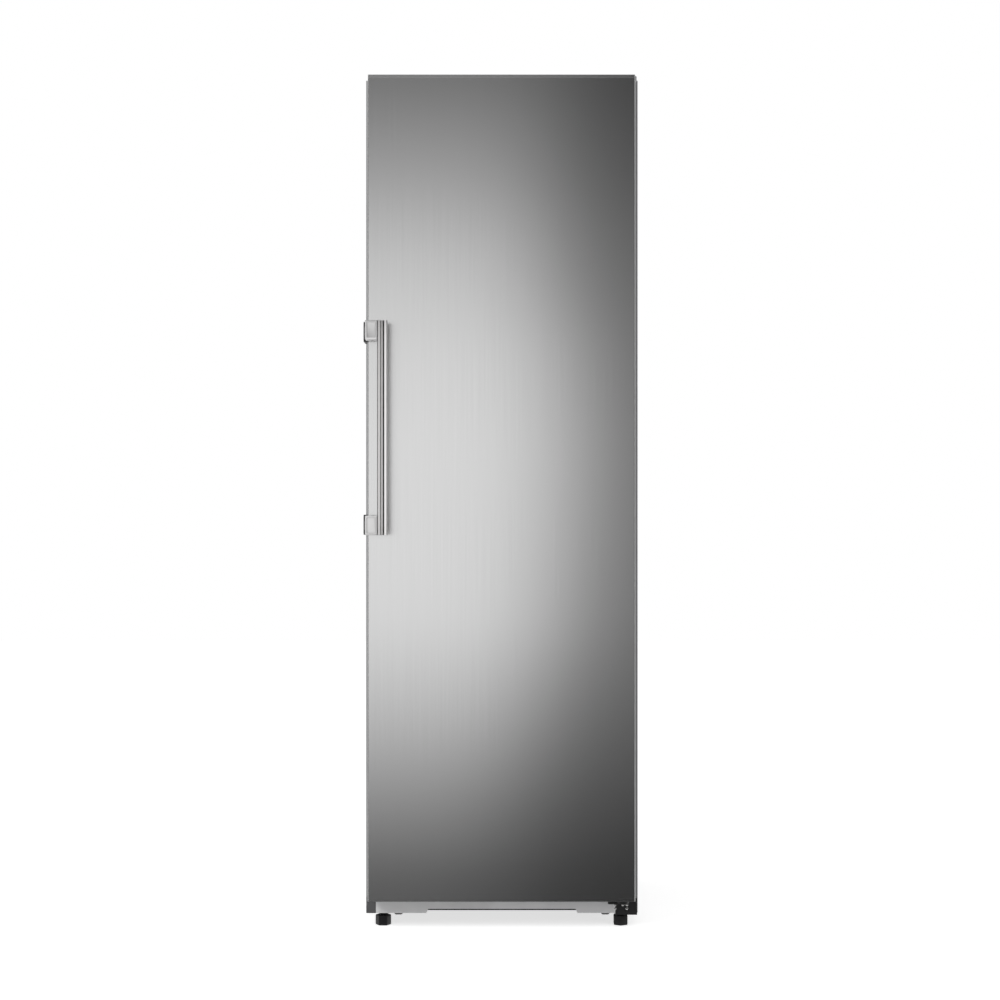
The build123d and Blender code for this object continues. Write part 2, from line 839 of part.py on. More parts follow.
def filter_dryer():
    """A copper can with a narrow neck at each end."""
    shoulder = dryer_radius - dryer_neck_radius - 0.5
    can = Pos(0, 0, dryer_neck) * prism(dryer_radius, dryer_length - 2 * dryer_neck, 12)
    can = chamfer(can.faces().sort_by(Axis.Z)[0].edges(), shoulder)
    can = chamfer(can.faces().sort_by(Axis.Z)[-1].edges(), shoulder)
    return Pos(dryer_x, dryer_y, dryer_base) * (can + prism(dryer_neck_radius, dryer_length, 12))


def refrigerant_tubes():
    """The discharge line, the line from the condenser to the dryer, and the suction line."""
    stub_x = compressor_x - compressor_radius - stub_reach
    (y_discharge, z_stub), (y_suction, _) = stub_places()
    riser_x = -condenser_half_width - condenser_pitch / 2 - riser_gap
    last_x = condenser_half_width * (-1 if condenser_passes % 2 == 0 else 1)
    top = condenser_levels[-1]
    z_low = z_stub - discharge_drop
    z_dryer = dryer_top + riser_gap
    side_x = -condenser_half_width - riser_gap
    discharge_x = stub_x - discharge_reach
    suction_x = stub_x - suction_reach
    routes = [
        [
            (stub_x, y_discharge, z_stub),
            (discharge_x, y_discharge, z_stub),
            (discharge_x, y_discharge, z_low),
            (riser_x, y_discharge, z_low),
            (riser_x, condenser_y, z_low),
            (riser_x, condenser_y, top),
            (last_x, condenser_y, top),
        ],
        [
            (-condenser_half_width, condenser_y, condenser_bottom),
            (side_x, condenser_y, condenser_bottom),
            (side_x, condenser_y, z_dryer),
            (dryer_x, condenser_y, z_dryer),
            (dryer_x, dryer_y, z_dryer),
            (dryer_x, dryer_y, dryer_top),
        ],
        [
            (stub_x, y_suction, z_stub),
            (suction_x, y_suction, z_stub),
            (suction_x, y_suction, compartment_roof - sheet),
        ],
    ]
    return group([pipe(rounded_route(points, tube_bend), condenser_tube_radius) for points in routes])


def power_inlet():
    """A socket with a six-sided mouth and three flat pins."""
    x1 = x_side - inlet_from_side
    x0 = x1 - inlet_width
    y1 = y_back + inlet_depth
    z0 = compartment_roof + inlet_above_roof
    z1 = z0 + inlet_height
    w, end = inlet_wall, inlet_end_wall
    socket = block(x0, x1, y_back, y1, z0, z1)
    socket = fillet(along(socket, Axis.Y), 4)
    mouth = block(x0 + end, x1 - end, y_back + w, y1 + 1, z0 + w, z1 - w)
    socket -= chamfer(along(mouth, Axis.Y, lambda e: e.center().Z > z1 - w - 1), 5)
    for x, z in ((-7, -3), (0, 4), (7, -3)):
        x_pin = (x0 + x1) / 2 + x
        z_pin = (z0 + z1) / 2 + z
        a, b = inlet_pin_width / 2, inlet_pin_height / 2
        socket += block(x_pin - a, x_pin + a, y_back + w - 1, y_back + w - 1 + inlet_pin_length,
                        z_pin - b, z_pin + b)
    return socket


# Feet and rollers

def foot(side, turn):
    """A screwed foot: a six-sided pad with a collar and a stud that goes up into its boss."""
    x = side * foot_from_middle
    pad = extrude(RegularPolygon(foot_across_corners / 2, 6), amount=foot_pad_height)
    pad = chamfer(pad.faces().sort_by(Axis.Z)[-1].edges(), 2)
    pad = chamfer(pad.faces().sort_by(Axis.Z)[0].edges(), 1.5)
    pad = Pos(x, foot_y, 0) * Rot(0, 0, turn) * pad
    collar_top = sides_above_floor - bracket_plate - 0.3
    pad += Pos(x, foot_y, foot_pad_height) * prism(9, collar_top - foot_pad_height, 12)
    return pad + rod(stud_radius, x, foot_y, foot_pad_height, pan_underside - 3)


def roller(side, place):
    """A moulded wheel whose tread is a little narrower than its body, running on a fixed axle."""
    y, z, radius = place
    wheel = Pos(0, 0, -roller_width / 2) * prism(radius, roller_width, 20)
    ends = wheel.faces().sort_by(Axis.Z)[0].edges() + wheel.faces().sort_by(Axis.Z)[-1].edges()
    wheel = chamfer(ends, (roller_width - roller_tread) / 2)
    bore = prism(roller_axle_radius + running_fit, 2 * roller_width, 12, bore=True)
    wheel -= Pos(0, 0, -roller_width) * bore
    return Pos(side * roller_from_middle, y, z) * Rot(0, 90, 0) * wheel


def roller_axles():
    reach = roller_width / 2 + roller_side_gap + ear_plate
    axles = []
    for side in (-1, 1):
        for y, z, _ in roller_places():
            x = side * roller_from_middle
            axles.append(rod_x(roller_axle_radius, x - reach, x + reach, y, z))
    return group(axles)


# Inside of the cabinet

def shelf_glass(level):
    glass = block(-x_liner + glass_side_gap, x_liner - glass_side_gap, shelf_front + trim_wall, shelf_rear,
                  level, level + glass_thickness)
    corners = along(glass, Axis.Z, lambda e: e.center().Y > 0)
    return fillet(corners, liner_corner)


def shelf_trims():
    half = x_liner - glass_side_gap
    trims = []
    for level in shelf_levels:
        low = level - (trim_height - glass_thickness) / 2
        y0 = shelf_front
        front = block(-half, half, y0, y0 + trim_depth, low, low + trim_height)
        front = chamfer(along(front, Axis.X, lambda e: e.center().Y < y0 + 1), 2)
        front -= block(-half - 1, half + 1, y0 + trim_wall, y0 + trim_depth + 1,
                       level, level + glass_thickness)
        trims.append(front)
        inset = half - liner_corner
        y1 = shelf_rear
        low = level + glass_thickness
        rear = block(-inset, inset, y1 - rear_stop_depth, y1 + rear_stop_plate, low, low + 3)
        rear += block(-inset, inset, y1, y1 + rear_stop_plate, level, level + rear_stop_height)
        trims.append(rear)
    return group(trims)


def drawer(side):
    z0 = floor_above_ground + drawer_seat
    z1 = z0 + drawer_height
    a = drawer_gap / 2
    b = x_liner - drawer_gap
    x0, x1 = (a, b) if side > 0 else (-b, -a)
    y0 = shelf_front + 4
    y1 = y_step - drawer_end_gap
    w = drawer_wall
    corner = liner_corner
    a, b = x0 + drawer_side_inset, x1 - drawer_side_inset
    y_box = y0 + drawer_front_plate - 2
    z_rim = z1 - drawer_rim_drop
    box = block(a, b, y_box, y1, z0, z_rim)
    box = fillet(along(box, Axis.Y, lambda e: e.center().Z < z0 + 1), corner)
    inside = block(a + w, b - w, y_box + w, y1 - w, z0 + w, z1)
    inside = fillet(along(inside, Axis.Y, lambda e: e.center().Z < z0 + w + 1), corner - w)
    front = block(x0, x1, y0, y0 + drawer_front_plate, z0, z1)
    front = fillet(along(front, Axis.Y, lambda e: e.center().Z < z0 + 1), corner)
    a, b = x0 + grip_inset, x1 - grip_inset
    z_grip = z1 - grip_drop
    grip = block(a, b, y0 - grip_reach, y0 + 3, z_grip - 3, z_grip)
    grip += block(a, b, y0 - grip_reach, y0 - grip_reach + 3, z_grip - grip_drop, z_grip)
    rim = block(x0 + 1, x1 - 1, y_box, y1, z_rim - drawer_rim, z_rim)
    return box + front + grip + rim - inside


def fan_housing():
    half = fan_housing_width / 2
    z0, z1 = fan_height - half, fan_height + half
    y0 = y_liner - fan_housing_depth
    case = block(-half, half, y0, y_liner, z0, z1)
    case = fillet(along(case, Axis.Y), fan_housing_corner)
    w = fan_wall
    inside = block(-half + w, half - w, y0 + w, y_liner + 1, z0 + w, z1 - w)
    case -= fillet(along(inside, Axis.Y), fan_housing_corner - w)
    for ring in range(grille_rings):
        inner = grille_hub + ring * (grille_slot + grille_bar)
        for n in range(grille_spokes):
            case -= Pos(0, y0, fan_height) * Rot(0, n * 360 / grille_spokes, 0) * grille_opening(inner)
    for side in (-1, 1):
        for n in range(vent_count):
            y = y0 + vent_from_front + n * vent_pitch
            z = fan_height + side * half
            case -= block(-vent_half_length, vent_half_length, y, y + vent_width, z - 6, z + 6)
    return case


def grille_opening(inner):
    """One slot of the grille, wider outwards, so that even bars stay between it and its neighbours."""
    outer = inner + grille_slot
    half_step = math.pi / grille_spokes
    a = inner * math.tan(half_step) - grille_bar / 2
    b = outer * math.tan(half_step) - grille_bar / 2
    return front_profile([(-a, inner), (a, inner), (b, outer), (-b, outer)], -1, fan_wall + 1)


def fan_rotor():
    """A hub with pitched blades, on the motor's shaft."""
    y0 = y_liner - fan_housing_depth + fan_wall + 6
    y1 = y_liner - motor_depth - 2
    middle = (y0 + y1) / 2
    hub = Pos(0, y1, fan_height) * Rot(90, 0, 0) * prism(fan_hub_radius, y1 - y0, 20)
    root = fan_hub_radius - 3
    outline = [(-9, root), (-14, fan_radius - 12), (-6, fan_radius), (14, fan_radius - 6), (10, root)]
    blade = Rot(0, 0, blade_pitch) * front_profile(outline, -blade_thickness / 2, blade_thickness / 2)
    for n in range(fan_blades):
        hub += Pos(0, middle, fan_height) * Rot(0, n * 360 / fan_blades, 0) * blade
    return hub - rod_y(shaft_radius + running_fit, 0, y0 + 4, y1 + 1, fan_height)


def fan_motor():
    motor = Pos(0, y_liner, fan_height) * Rot(90, 0, 0) * prism(motor_radius, motor_depth, 20)
    y1 = y_liner - motor_depth
    return motor + rod_y(shaft_radius, 0, y1 - shaft_length, y1 + 1, fan_height)


def control_panel():
    def form(inset):
        outline = [
            (panel_y + inset, liner_top),
            (panel_y + inset, liner_top - panel_height + inset),
            (panel_y + panel_nose, liner_top - panel_height + inset),
            (panel_y + panel_depth - inset, liner_top - panel_rear_height + inset),
            (panel_y + panel_depth - inset, liner_top),
        ]
        return side_profile(outline, -panel_half_width + inset, panel_half_width - inset)

    case = form(0)
    case = fillet(along(case, Axis.Y, lambda e: e.center().Z < liner_top - 2), 5)
    case -= form(panel_wall)
    for x in button_places():
        a = button_width / 2 + button_side_gap
        b = button_height / 2 + button_side_gap
        case -= block(x - a, x + a, panel_y - 1, panel_y + panel_wall + 1, button_z - b, button_z + b)
    return case - display_block(-1, panel_wall + 1)


def display_block(front, back):
    """The display's outline, from one depth behind the face of the panel to another."""
    return block(display_left, display_right, panel_y + front, panel_y + back,
                 button_z - display_half_height, button_z + display_half_height)


def button_places():
    return [first_button + n * button_pitch for n in range(3)]


def control_button(x):
    """A key cap in its window, held from behind by a flange."""
    a, b = button_width / 2, button_height / 2
    y0 = panel_y + panel_wall + 0.3
    cap = block(x - a, x + a, panel_y - button_proud, y0 + 1, button_z - b, button_z + b)
    cap = chamfer(cap.faces().sort_by(Axis.Y)[0].edges(), 0.8)
    return cap + block(x - a - 1.5, x + a + 1.5, y0, y0 + 2, button_z - b - 1.5, button_z + b + 1.5)


def display_window():
    return display_block(display_recess, panel_wall)


def light_lens():
    y0 = panel_y + panel_depth + lens_from_panel
    half = lens_half_width
    lens = block(-half, half, y0, y0 + lens_depth, liner_top - lens_height, liner_top)
    lens = chamfer(along(lens, Axis.Z), 8)
    return chamfer(lens.faces().sort_by(Axis.Z)[0].edges(), 3)


# Door

def door_skin():
    z0, z1 = door_bottom + bottom_cap_lip, door_top - top_cap_lip
    outer = block(door_left, door_right, y_door, y_door_back - rim_depth, z0, z1)
    outer = fillet(along(outer, Axis.Z, lambda e: e.center().Y < y_door + 1), door_edge_radius)
    t = door_sheet
    return outer - block(door_left + t, door_right - t, y_door + t, y_door_back, z0 - 1, z1 + 1)


def end_cap(z_end, lip, inward):
    """A moulded cap: a plate as large as the door's end, a plug inside the skin and a bush boss."""
    t = door_sheet
    z_lip = z_end + inward * lip
    z_plug = z_lip + inward * cap_plug
    plate = block(door_left, door_right, y_door, y_door_back, min(z_end, z_lip), max(z_end, z_lip))
    plate = fillet(along(plate, Axis.Z, lambda e: e.center().Y < y_door + 1), door_edge_radius)
    plug = block(door_left + t, door_right - t, y_door + t, y_door_back - rim_depth,
                 min(z_lip, z_plug), max(z_lip, z_plug))
    boss = hinge_column(bush_half + boss_wall, z_end, z_end + inward * (bush_depth + boss_wall))
    return plate + plug + boss - hinge_column(bush_half, z_end, z_end + inward * bush_depth)


def hinge_column(half, z_a, z_b):
    """A square column on the hinge's axis, between two heights given in either order."""
    x0, x1 = hinge_x - half, hinge_x + half
    return block(x0, x1, hinge_y - half, hinge_y + half, min(z_a, z_b), max(z_a, z_b))


def door_end_caps():
    return group([end_cap(door_bottom, bottom_cap_lip, 1), end_cap(door_top, top_cap_lip, -1)])


def hinge_bushes():
    low = hinge_column(bush_half, door_bottom, door_bottom + bush_depth)
    high = hinge_column(bush_half, door_top - bush_depth, door_top)
    hole = rod(pin_radius + running_fit, hinge_x, hinge_y, 0, cabinet_top)
    return group([low - hole, high - hole])


def dyke_form(x_half, z0, z1, corner, draft, depth):
    """A block with rounded corners that narrows towards the cabinet, for both faces of the dyke."""
    height = z1 - z0
    low = Plane(origin=(0, y_door_back, (z0 + z1) / 2), x_dir=(1, 0, 0), z_dir=(0, 1, 0))
    wide = low * RectangleRounded(2 * x_half, height, corner)
    narrow = RectangleRounded(2 * (x_half - draft), height - 2 * draft, corner - abs(draft))
    return loft([wide, low.offset(depth) * narrow], ruled=True)


def door_dyke():
    """The raised frame that carries the racks: two uprights with lugs, a bar above and a bar below."""
    outer = dyke_form(x_dyke, dyke_bottom, dyke_top, dyke_corner, dyke_draft, dyke_height)
    x_inner = x_dyke - dyke_wall
    z0, z1 = dyke_bottom + dyke_wall, dyke_top - dyke_wall
    inner = dyke_form(x_inner, z0, z1, dyke_corner / 2, -dyke_draft, dyke_height)
    ring = outer - inner
    y0, y1 = y_door_back, y_door_back + dyke_height
    between = block(-x_inner, x_inner, y0, y1, dyke_bottom, dyke_top)
    bars = list((ring & between).solids())
    for upright in (ring - between).solids():
        side = 1 if upright.center().X > 0 else -1
        x_a, x_b = sorted((side * (x_inner + dyke_wall / 2), side * (x_inner - lug_reach)))
        bars.append(upright)
        for z in rack_bottoms:
            bars.append(block(x_a, x_b, y0, y1 - lug_setback, z - lug_height, z) - upright)
    return bars


def door_liner():
    """The shallow tray that closes the back of the door, with its dyke."""
    t = rim_wall
    tray = block(door_left, door_right, y_door_back - rim_depth, y_door_back, rim_bottom, rim_top)
    tray -= block(door_left + t, door_right - t, y_door_back - rim_depth - 1, y_door_back - t,
                  rim_bottom + t, rim_top - t)
    return group([tray] + door_dyke())


def door_insulation():
    t = door_sheet
    w = rim_wall
    foam = block(door_left + t, door_right - t, y_door + t, y_door_back - rim_depth, rim_bottom + cap_plug,
                 rim_top - cap_plug)
    foam += block(door_left + w, door_right - w, y_door_back - rim_depth - 1, y_door_back - w,
                  rim_bottom + w, rim_top - w)
    foam -= block(door_left, door_right, y_door, y_door_back - rim_depth, rim_bottom, rim_bottom + cap_plug)
    foam -= block(door_left, door_right, y_door, y_door_back - rim_depth, rim_top - cap_plug, rim_top)
    half, depth = bush_half + boss_wall, bush_depth + boss_wall
    foam -= hinge_column(half, 0, door_bottom + depth)
    return foam - hinge_column(half, door_top - depth, door_top)


def gasket_frame(inset_outer, inset_inner, y0, y1):
    z0 = door_bottom + gasket_from_door_foot
    z1 = door_top - gasket_from_door_foot
    a, b = inset_outer, gasket_width - inset_inner
    outer = block(-gasket_outer + a, gasket_outer - a, y0, y1, z0 + a, z1 - a)
    return outer - block(-gasket_outer + b, gasket_outer - b, y0 - 1, y1 + 1, z0 + b, z1 - b)


def door_gasket():
    """A root strip on the door, a narrow bellows and the magnet strip that meets the cabinet."""
    y1 = y_front - gasket_clearance
    root = gasket_frame(1, 1, y_door_back, y_door_back + 4)
    waist = gasket_frame(4, 4, y_door_back + 3.5, y1 - 4)
    return root + waist + gasket_frame(0, 0, y1 - 5, y1)


def open_rack(z0, height, front_height):
    """A clear tray open at the top, with its lower wall on the side of the door."""
    half = x_dyke - dyke_wall - rack_to_dyke - rack_side_gap
    y0 = y_door_back + rack_side_gap
    y1 = y0 + rack_depth
    rack = block(-half, half, y0, y1, z0, z0 + height)
    rack = fillet(along(rack, Axis.Z, lambda e: e.center().Y > y1 - 1), rack_corner)
    w = rack_wall
    inside = block(-half + w, half - w, y0 + w, y1 - w, z0 + w, z0 + height + 1)
    rack -= fillet(along(inside, Axis.Z, lambda e: e.center().Y > y1 - w - 1), rack_corner - w)
    return rack - block(-half + w, half - w, y0 - 1, y0 + w + 1, z0 + front_height, z0 + height + 1)


def door_racks():
    return group([open_rack(z, rack_height, rack_height * rack_low_side) for z in rack_bottoms[1:]])


def bottle_rack():
    return open_rack(bottle_rack_bottom, bottle_rack_height, bottle_rack_height * rack_low_side)


def bottle_guard():
    """A saddle on the rack's rear wall, with a blade that keeps tall bottles upright."""
    y1 = y_door_back + rack_side_gap + rack_depth
    z1 = bottle_rack_bottom + bottle_rack_height
    c = guard_clearance
    w = guard_wall + c
    half = guard_width / 2
    saddle = block(-half, half, y1 - rack_wall - w, y1 + w, z1 - guard_drop, z1 + 4)
    saddle -= block(-half - 1, half + 1, y1 - rack_wall - c, y1 + c, z1 - guard_drop - 1, z1 + c)
    y0 = y1 - guard_reach
    half = guard_blade / 2
    blade = block(-half, half, y0, y1 - rack_wall - w + 1, z1 - guard_drop - 8, z1 + 2)
    blade = fillet(along(blade, Axis.X, lambda e: e.center().Y < y0 + 10), 10)
    return saddle + blade


# Handle

def handle_levels():
    half = handle_block_height / 2
    return (handle_bottom + half, handle_top - half)


def handle_brackets():
    """A housing round the pusher at the door's edge, a knuckle for the pivot and the link between them."""
    half = handle_block_height / 2
    k = knuckle_half
    brackets = []
    for z in handle_levels():
        x0 = door_left - bar_overhang_left
        housing = block(x0, door_left, y_door + 0.5, y_door + housing_length, z - half, z + half)
        housing = fillet(along(housing, Axis.Z, lambda e: e.center().X < x0 + 1), housing_corner)
        y0 = y_door - link_plate
        z0, z1 = z - half + link_inset, z + half - link_inset
        link = block(x0, pivot_x, y0, y_door, z0, z1) + block(x0, door_left, y0, y_door + 1, z0, z1)
        base = block(pivot_x - k, pivot_x + k + 4, y_door - knuckle_front, y_door,
                     z0 + link_plate, z1 - link_plate)
        z0, z1 = z - knuckle_height / 2, z + knuckle_height / 2
        knuckle = block(pivot_x - k, pivot_x + k, pivot_y - knuckle_front, y_door - 4, z0, z1)
        c = pusher_clearance
        channel = block(pusher_left - c, pusher_left + pusher_width + c, y_door - 10,
                        y_door + housing_length + 1, z - pusher_height / 2 - c, z + pusher_height / 2 + c)
        bore = Pos(pivot_x, pivot_y, z - half) * prism(pivot_radius, 2 * half, 12, bore=True)
        brackets.append(housing + link + base + knuckle - channel - bore)
    return group(brackets)


def handle_pivot_pins():
    half = handle_block_height / 2 - 1
    return group([rod(pivot_radius, pivot_x, pivot_y, z - half, z + half) for z in handle_levels()])


def handle_levers():
    half = handle_block_height / 2
    w = lever_wall
    levers = []
    for z in handle_levels():
        lever = block(block_left, block_right, lever_front, lever_back, z - half, z + half)
        lever = chamfer(lever.faces().sort_by(Axis.Y)[0].edges(), 2.5)
        lug = block(block_left - 3.5, block_left + 2, lever_back - 6, lever_back, z - 10, z + 10)
        lever += fillet(along(lug, Axis.Z, lambda e: e.center().X < block_left - 3), 1.5)
        lever -= block(block_left + w, block_right - w, lever_front + 5, lever_back + 1,
                       z - half + w, z + half - w)
        bore = prism(pivot_radius + running_fit, 2 * half + 2, 12, bore=True)
        levers.append(lever - Pos(pivot_x, pivot_y, z - half - 1) * bore)
    return group(levers)


def handle_bar():
    """An extruded bar: a flat by the levers, a fine groove, a flat, a deep groove and a round nose."""
    x0 = block_right
    x1 = x0 + bar_width
    y0 = y_handle
    y1 = y0 + bar_depth
    outline = [
        (x0, y1),
        (x0, y0 + 1.5),
        (x0 + 5.8, y0 + 1.5),
        (x0 + 5.8, y0 + 3.0),
        (x0 + 7.4, y0 + 3.0),
        (x0 + 7.4, y0 + 1.5),
        (x0 + 12.4, y0 + 1.5),
        (x0 + 12.4, y0 + 6.0),
        (x0 + 14.6, y0 + 6.0),
        (x0 + 14.6, y0),
        (x1, y0),
        (x1, y1),
    ]
    bar = plan_profile(outline, handle_bottom, handle_top)
    nose = along(bar, Axis.Z, lambda e: e.center().X > x0 + 14 and e.center().Y < y0 + 1)
    bar = fillet(nose, 2.6)
    return fillet(along(bar, Axis.Z, lambda e: e.center().X > x1 - 0.1 and e.center().Y > y1 - 1), 3)


def handle_pushers():
    rods = []
    for z in handle_levels():
        y0, y1 = lever_back + pusher_clearance, y_front - pusher_rest_gap
        half = pusher_height / 2
        rods.append(block(pusher_left, pusher_left + pusher_width, y0, y1, z - half, z + half))
    return group(rods)


def build_parts():
    parts = {
        "cabinet_shell": cabinet_shell(),
        "back_panel": back_panel(),
        "cabinet_liner": cabinet_liner(),
        "cabinet_insulation": cabinet_insulation(),
        "evaporator_plate": evaporator_plate(),
        "base_pan": base_pan(),
        "plinth": plinth(),
        "corner_cover": corner_cover(),
        "lower_hinge_bracket": lower_hinge_bracket(),
        "upper_hinge_bracket": upper_hinge_bracket(),
        "upper_hinge_cover": upper_hinge_cover(),
        "hinge_pins": hinge_pins(),
        "hinge_screws": hinge_screws(),
        "compressor": compressor(),
        "compressor_grommets": compressor_grommets(),
        "relay_box": relay_box(),
        "drip_tray": drip_tray(),
        "condenser": condenser(),
        "condenser_clips": condenser_clips(),
        "filter_dryer": filter_dryer(),
        "refrigerant_tubes": refrigerant_tubes(),
        "power_inlet": power_inlet(),
        "roller_axles": roller_axles(),
        "control_panel": control_panel(),
        "display_window": display_window(),
        "fan_housing": fan_housing(),
        "fan_motor": fan_motor(),
        "light_lens": light_lens(),
        "shelf_trims": shelf_trims(),
        "fan_rotor": fan_rotor(),
        "drawer_left": drawer(-1),
        "drawer_right": drawer(1),
        "foot_left": foot(-1, 0),
        "foot_right": foot(1, 30),
        "door_skin": door_skin(),
        "door_liner": door_liner(),
        "door_insulation": door_insulation(),
        "door_end_caps": door_end_caps(),
        "door_gasket": door_gasket(),
        "hinge_bushes": hinge_bushes(),
        "door_racks": door_racks(),
        "bottle_rack": bottle_rack(),
        "bottle_guard": bottle_guard(),
        "handle_brackets": handle_brackets(),
        "handle_pivot_pins": handle_pivot_pins(),
        "handle_levers": handle_levers(),
        "handle_bar": handle_bar(),
        "handle_pushers": handle_pushers(),
    }
    for n, level in enumerate(shelf_levels):
        parts[f"shelf_{n + 1}"] = shelf_glass(level)
    for side, side_name in ((-1, "left"), (1, "right")):
        for place, end_name in zip(roller_places(), ("front", "rear")):
            parts[f"{end_name}_roller_{side_name}"] = roller(side, place)
    for x, name in zip(button_places(), ("power_button", "warmer_button", "colder_button")):
        parts[name] = control_button(x)
    return parts


os.makedirs("parts", exist_ok=True)
for name, shape in build_parts().items():
    export_step(shape, f"parts/{name}.step")
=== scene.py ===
import json
import math

import bmesh
import bpy
from mathutils import Matrix, Vector


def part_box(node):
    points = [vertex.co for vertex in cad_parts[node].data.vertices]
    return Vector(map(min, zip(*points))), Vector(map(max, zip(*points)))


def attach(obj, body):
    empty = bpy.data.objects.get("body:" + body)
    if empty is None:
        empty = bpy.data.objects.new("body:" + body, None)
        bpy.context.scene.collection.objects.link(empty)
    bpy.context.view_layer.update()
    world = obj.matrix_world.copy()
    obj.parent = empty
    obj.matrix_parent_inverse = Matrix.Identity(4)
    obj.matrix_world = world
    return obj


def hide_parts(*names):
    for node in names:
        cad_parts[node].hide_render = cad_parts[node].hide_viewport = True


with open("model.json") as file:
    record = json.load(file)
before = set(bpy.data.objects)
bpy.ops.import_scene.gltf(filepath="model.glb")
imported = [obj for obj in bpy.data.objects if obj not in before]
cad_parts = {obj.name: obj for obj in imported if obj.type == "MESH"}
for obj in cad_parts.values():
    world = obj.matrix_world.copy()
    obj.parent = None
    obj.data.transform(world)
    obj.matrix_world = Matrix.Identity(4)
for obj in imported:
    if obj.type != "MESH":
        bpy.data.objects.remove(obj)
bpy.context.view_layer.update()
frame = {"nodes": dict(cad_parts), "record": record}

scene = bpy.context.scene
scene.view_settings.view_transform = "Standard"

door_low, door_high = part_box("door_skin")
cabinet_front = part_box("cabinet_shell")[0].y


# Helpers for materials

MIX_FACTOR, MIX_FIRST, MIX_SECOND, MIX_RESULT = 0, 6, 7, 2

materials = {}


class Nodes:
    """A new material, with short calls that add shader nodes to it and link them."""

    def __init__(self, name):
        self.material = materials[name] = bpy.data.materials.new(name)
        self.material.use_nodes = True
        self.tree = self.material.node_tree
        self.shader = self.tree.nodes["Principled BSDF"]
        self.output = self.tree.nodes["Material Output"]
        self.texture = self.add("ShaderNodeTexCoord")

    def add(self, kind, **settings):
        node = self.tree.nodes.new(kind)
        for key, value in settings.items():
            setattr(node, key, value)
        return node

    def link(self, source, target):
        self.tree.links.new(source, target)

    def feed(self, **sources):
        """Link sources to sockets of the shader; an underscore stands for a space."""
        for name, source in sources.items():
            self.link(source, self.shader.inputs[name.replace("_", " ")])

    def set(self, **values):
        """Give sockets of the shader one value all over; an underscore stands for a space."""
        for name, value in values.items():
            self.shader.inputs[name.replace("_", " ")].default_value = value

    def split(self, source):
        """The X, Y and Z outputs of a vector."""
        node = self.add("ShaderNodeSeparateXYZ")
        self.link(source, node.inputs["Vector"])
        return node.outputs

    def coordinates(self, scale):
        """Object coordinates, stretched by one scale or by a scale for each axis."""
        mapping = self.add("ShaderNodeMapping")
        mapping.inputs["Scale"].default_value = scale if isinstance(scale, tuple) else (scale,) * 3
        self.link(self.texture.outputs["Object"], mapping.inputs["Vector"])
        return mapping.outputs["Vector"]

    def noise(self, scale, detail=2.0):
        node = self.add("ShaderNodeTexNoise")
        node.inputs["Scale"].default_value = 1.0
        node.inputs["Detail"].default_value = detail
        self.link(self.coordinates(scale), node.inputs["Vector"])
        return node.outputs["Fac"]

    def ramp(self, source, stops):
        """Greys at several positions."""
        node = self.add("ShaderNodeValToRGB")
        elements = node.color_ramp.elements
        while len(elements) < len(stops):
            elements.new(0.5)
        for element, (position, grey) in zip(elements, stops):
            element.position = position
            element.color = (grey, grey, grey, 1.0)
        self.link(source, node.inputs["Fac"])
        return node.outputs["Color"]

    def remap(self, source, low, high, start=0.35, end=0.65):
        node = self.add("ShaderNodeMapRange")
        for name, value in (("From Min", start), ("From Max", end), ("To Min", low), ("To Max", high)):
            node.inputs[name].default_value = value
        self.link(source, node.inputs["Value"])
        return node.outputs["Result"]

    def mix(self, factor, first, second, blend="MIX"):
        """Two colours mixed; each value is a number, a tuple or taken from another node."""
        node = self.add("ShaderNodeMix", data_type="RGBA", blend_type=blend)
        for socket, value in ((MIX_FACTOR, factor), (MIX_FIRST, first), (MIX_SECOND, second)):
            if isinstance(value, float):
                node.inputs[socket].default_value = value
            elif isinstance(value, tuple):
                node.inputs[socket].default_value = (*value, 1.0)
            else:
                self.link(value, node.inputs[socket])
        return node.outputs[MIX_RESULT]

    def bump(self, height, strength, distance):
        node = self.add("ShaderNodeBump")
        node.inputs["Strength"].default_value = strength
        node.inputs["Distance"].default_value = distance
        self.link(height, node.inputs["Height"])
        self.feed(Normal=node.outputs["Normal"])

    def grain(self, roughness, scale=1500, relief=0.12):
        """Fine grain in the gloss and in the relief."""
        fine = self.noise(scale)
        self.feed(Roughness=self.remap(fine, roughness - 0.04, roughness + 0.05))
        self.bump(fine, relief, 0.0003)


def door_steel():
    """Stainless sheet brushed upright: long fine streaks, and highlights that spread sideways."""
    m = Nodes("door_steel")
    streaks = m.noise((900, 900, 3), 3.0)
    clouds = m.noise((3, 3, 1.2), 1.0)
    m.feed(
        Base_Color=m.mix(m.remap(streaks, 0, 1, 0.2, 0.8), (0.600, 0.600, 0.600), (0.642, 0.642, 0.643)),
        Roughness=m.remap(clouds, 0.20, 0.24, 0, 1),
        Tangent=m.add("ShaderNodeTangent", direction_type="RADIAL", axis="Z").outputs["Tangent"],
    )
    m.set(Metallic=1.0, Anisotropic=0.55)
    m.bump(streaks, 0.03, 0.0002)


def silver_paint():
    """Lacquered sheet: flakes in its colour, orange peel in its gloss."""
    m = Nodes("silver_paint")
    peel = m.noise(260)
    flakes = m.noise(1800, 1.0)
    m.feed(
        Base_Color=m.mix(m.remap(flakes, 0, 1), (0.30, 0.30, 0.305), (0.34, 0.34, 0.345)),
        Roughness=m.remap(peel, 0.34, 0.42),
    )
    m.set(Metallic=0.3)
    m.bump(peel, 0.08, 0.0004)


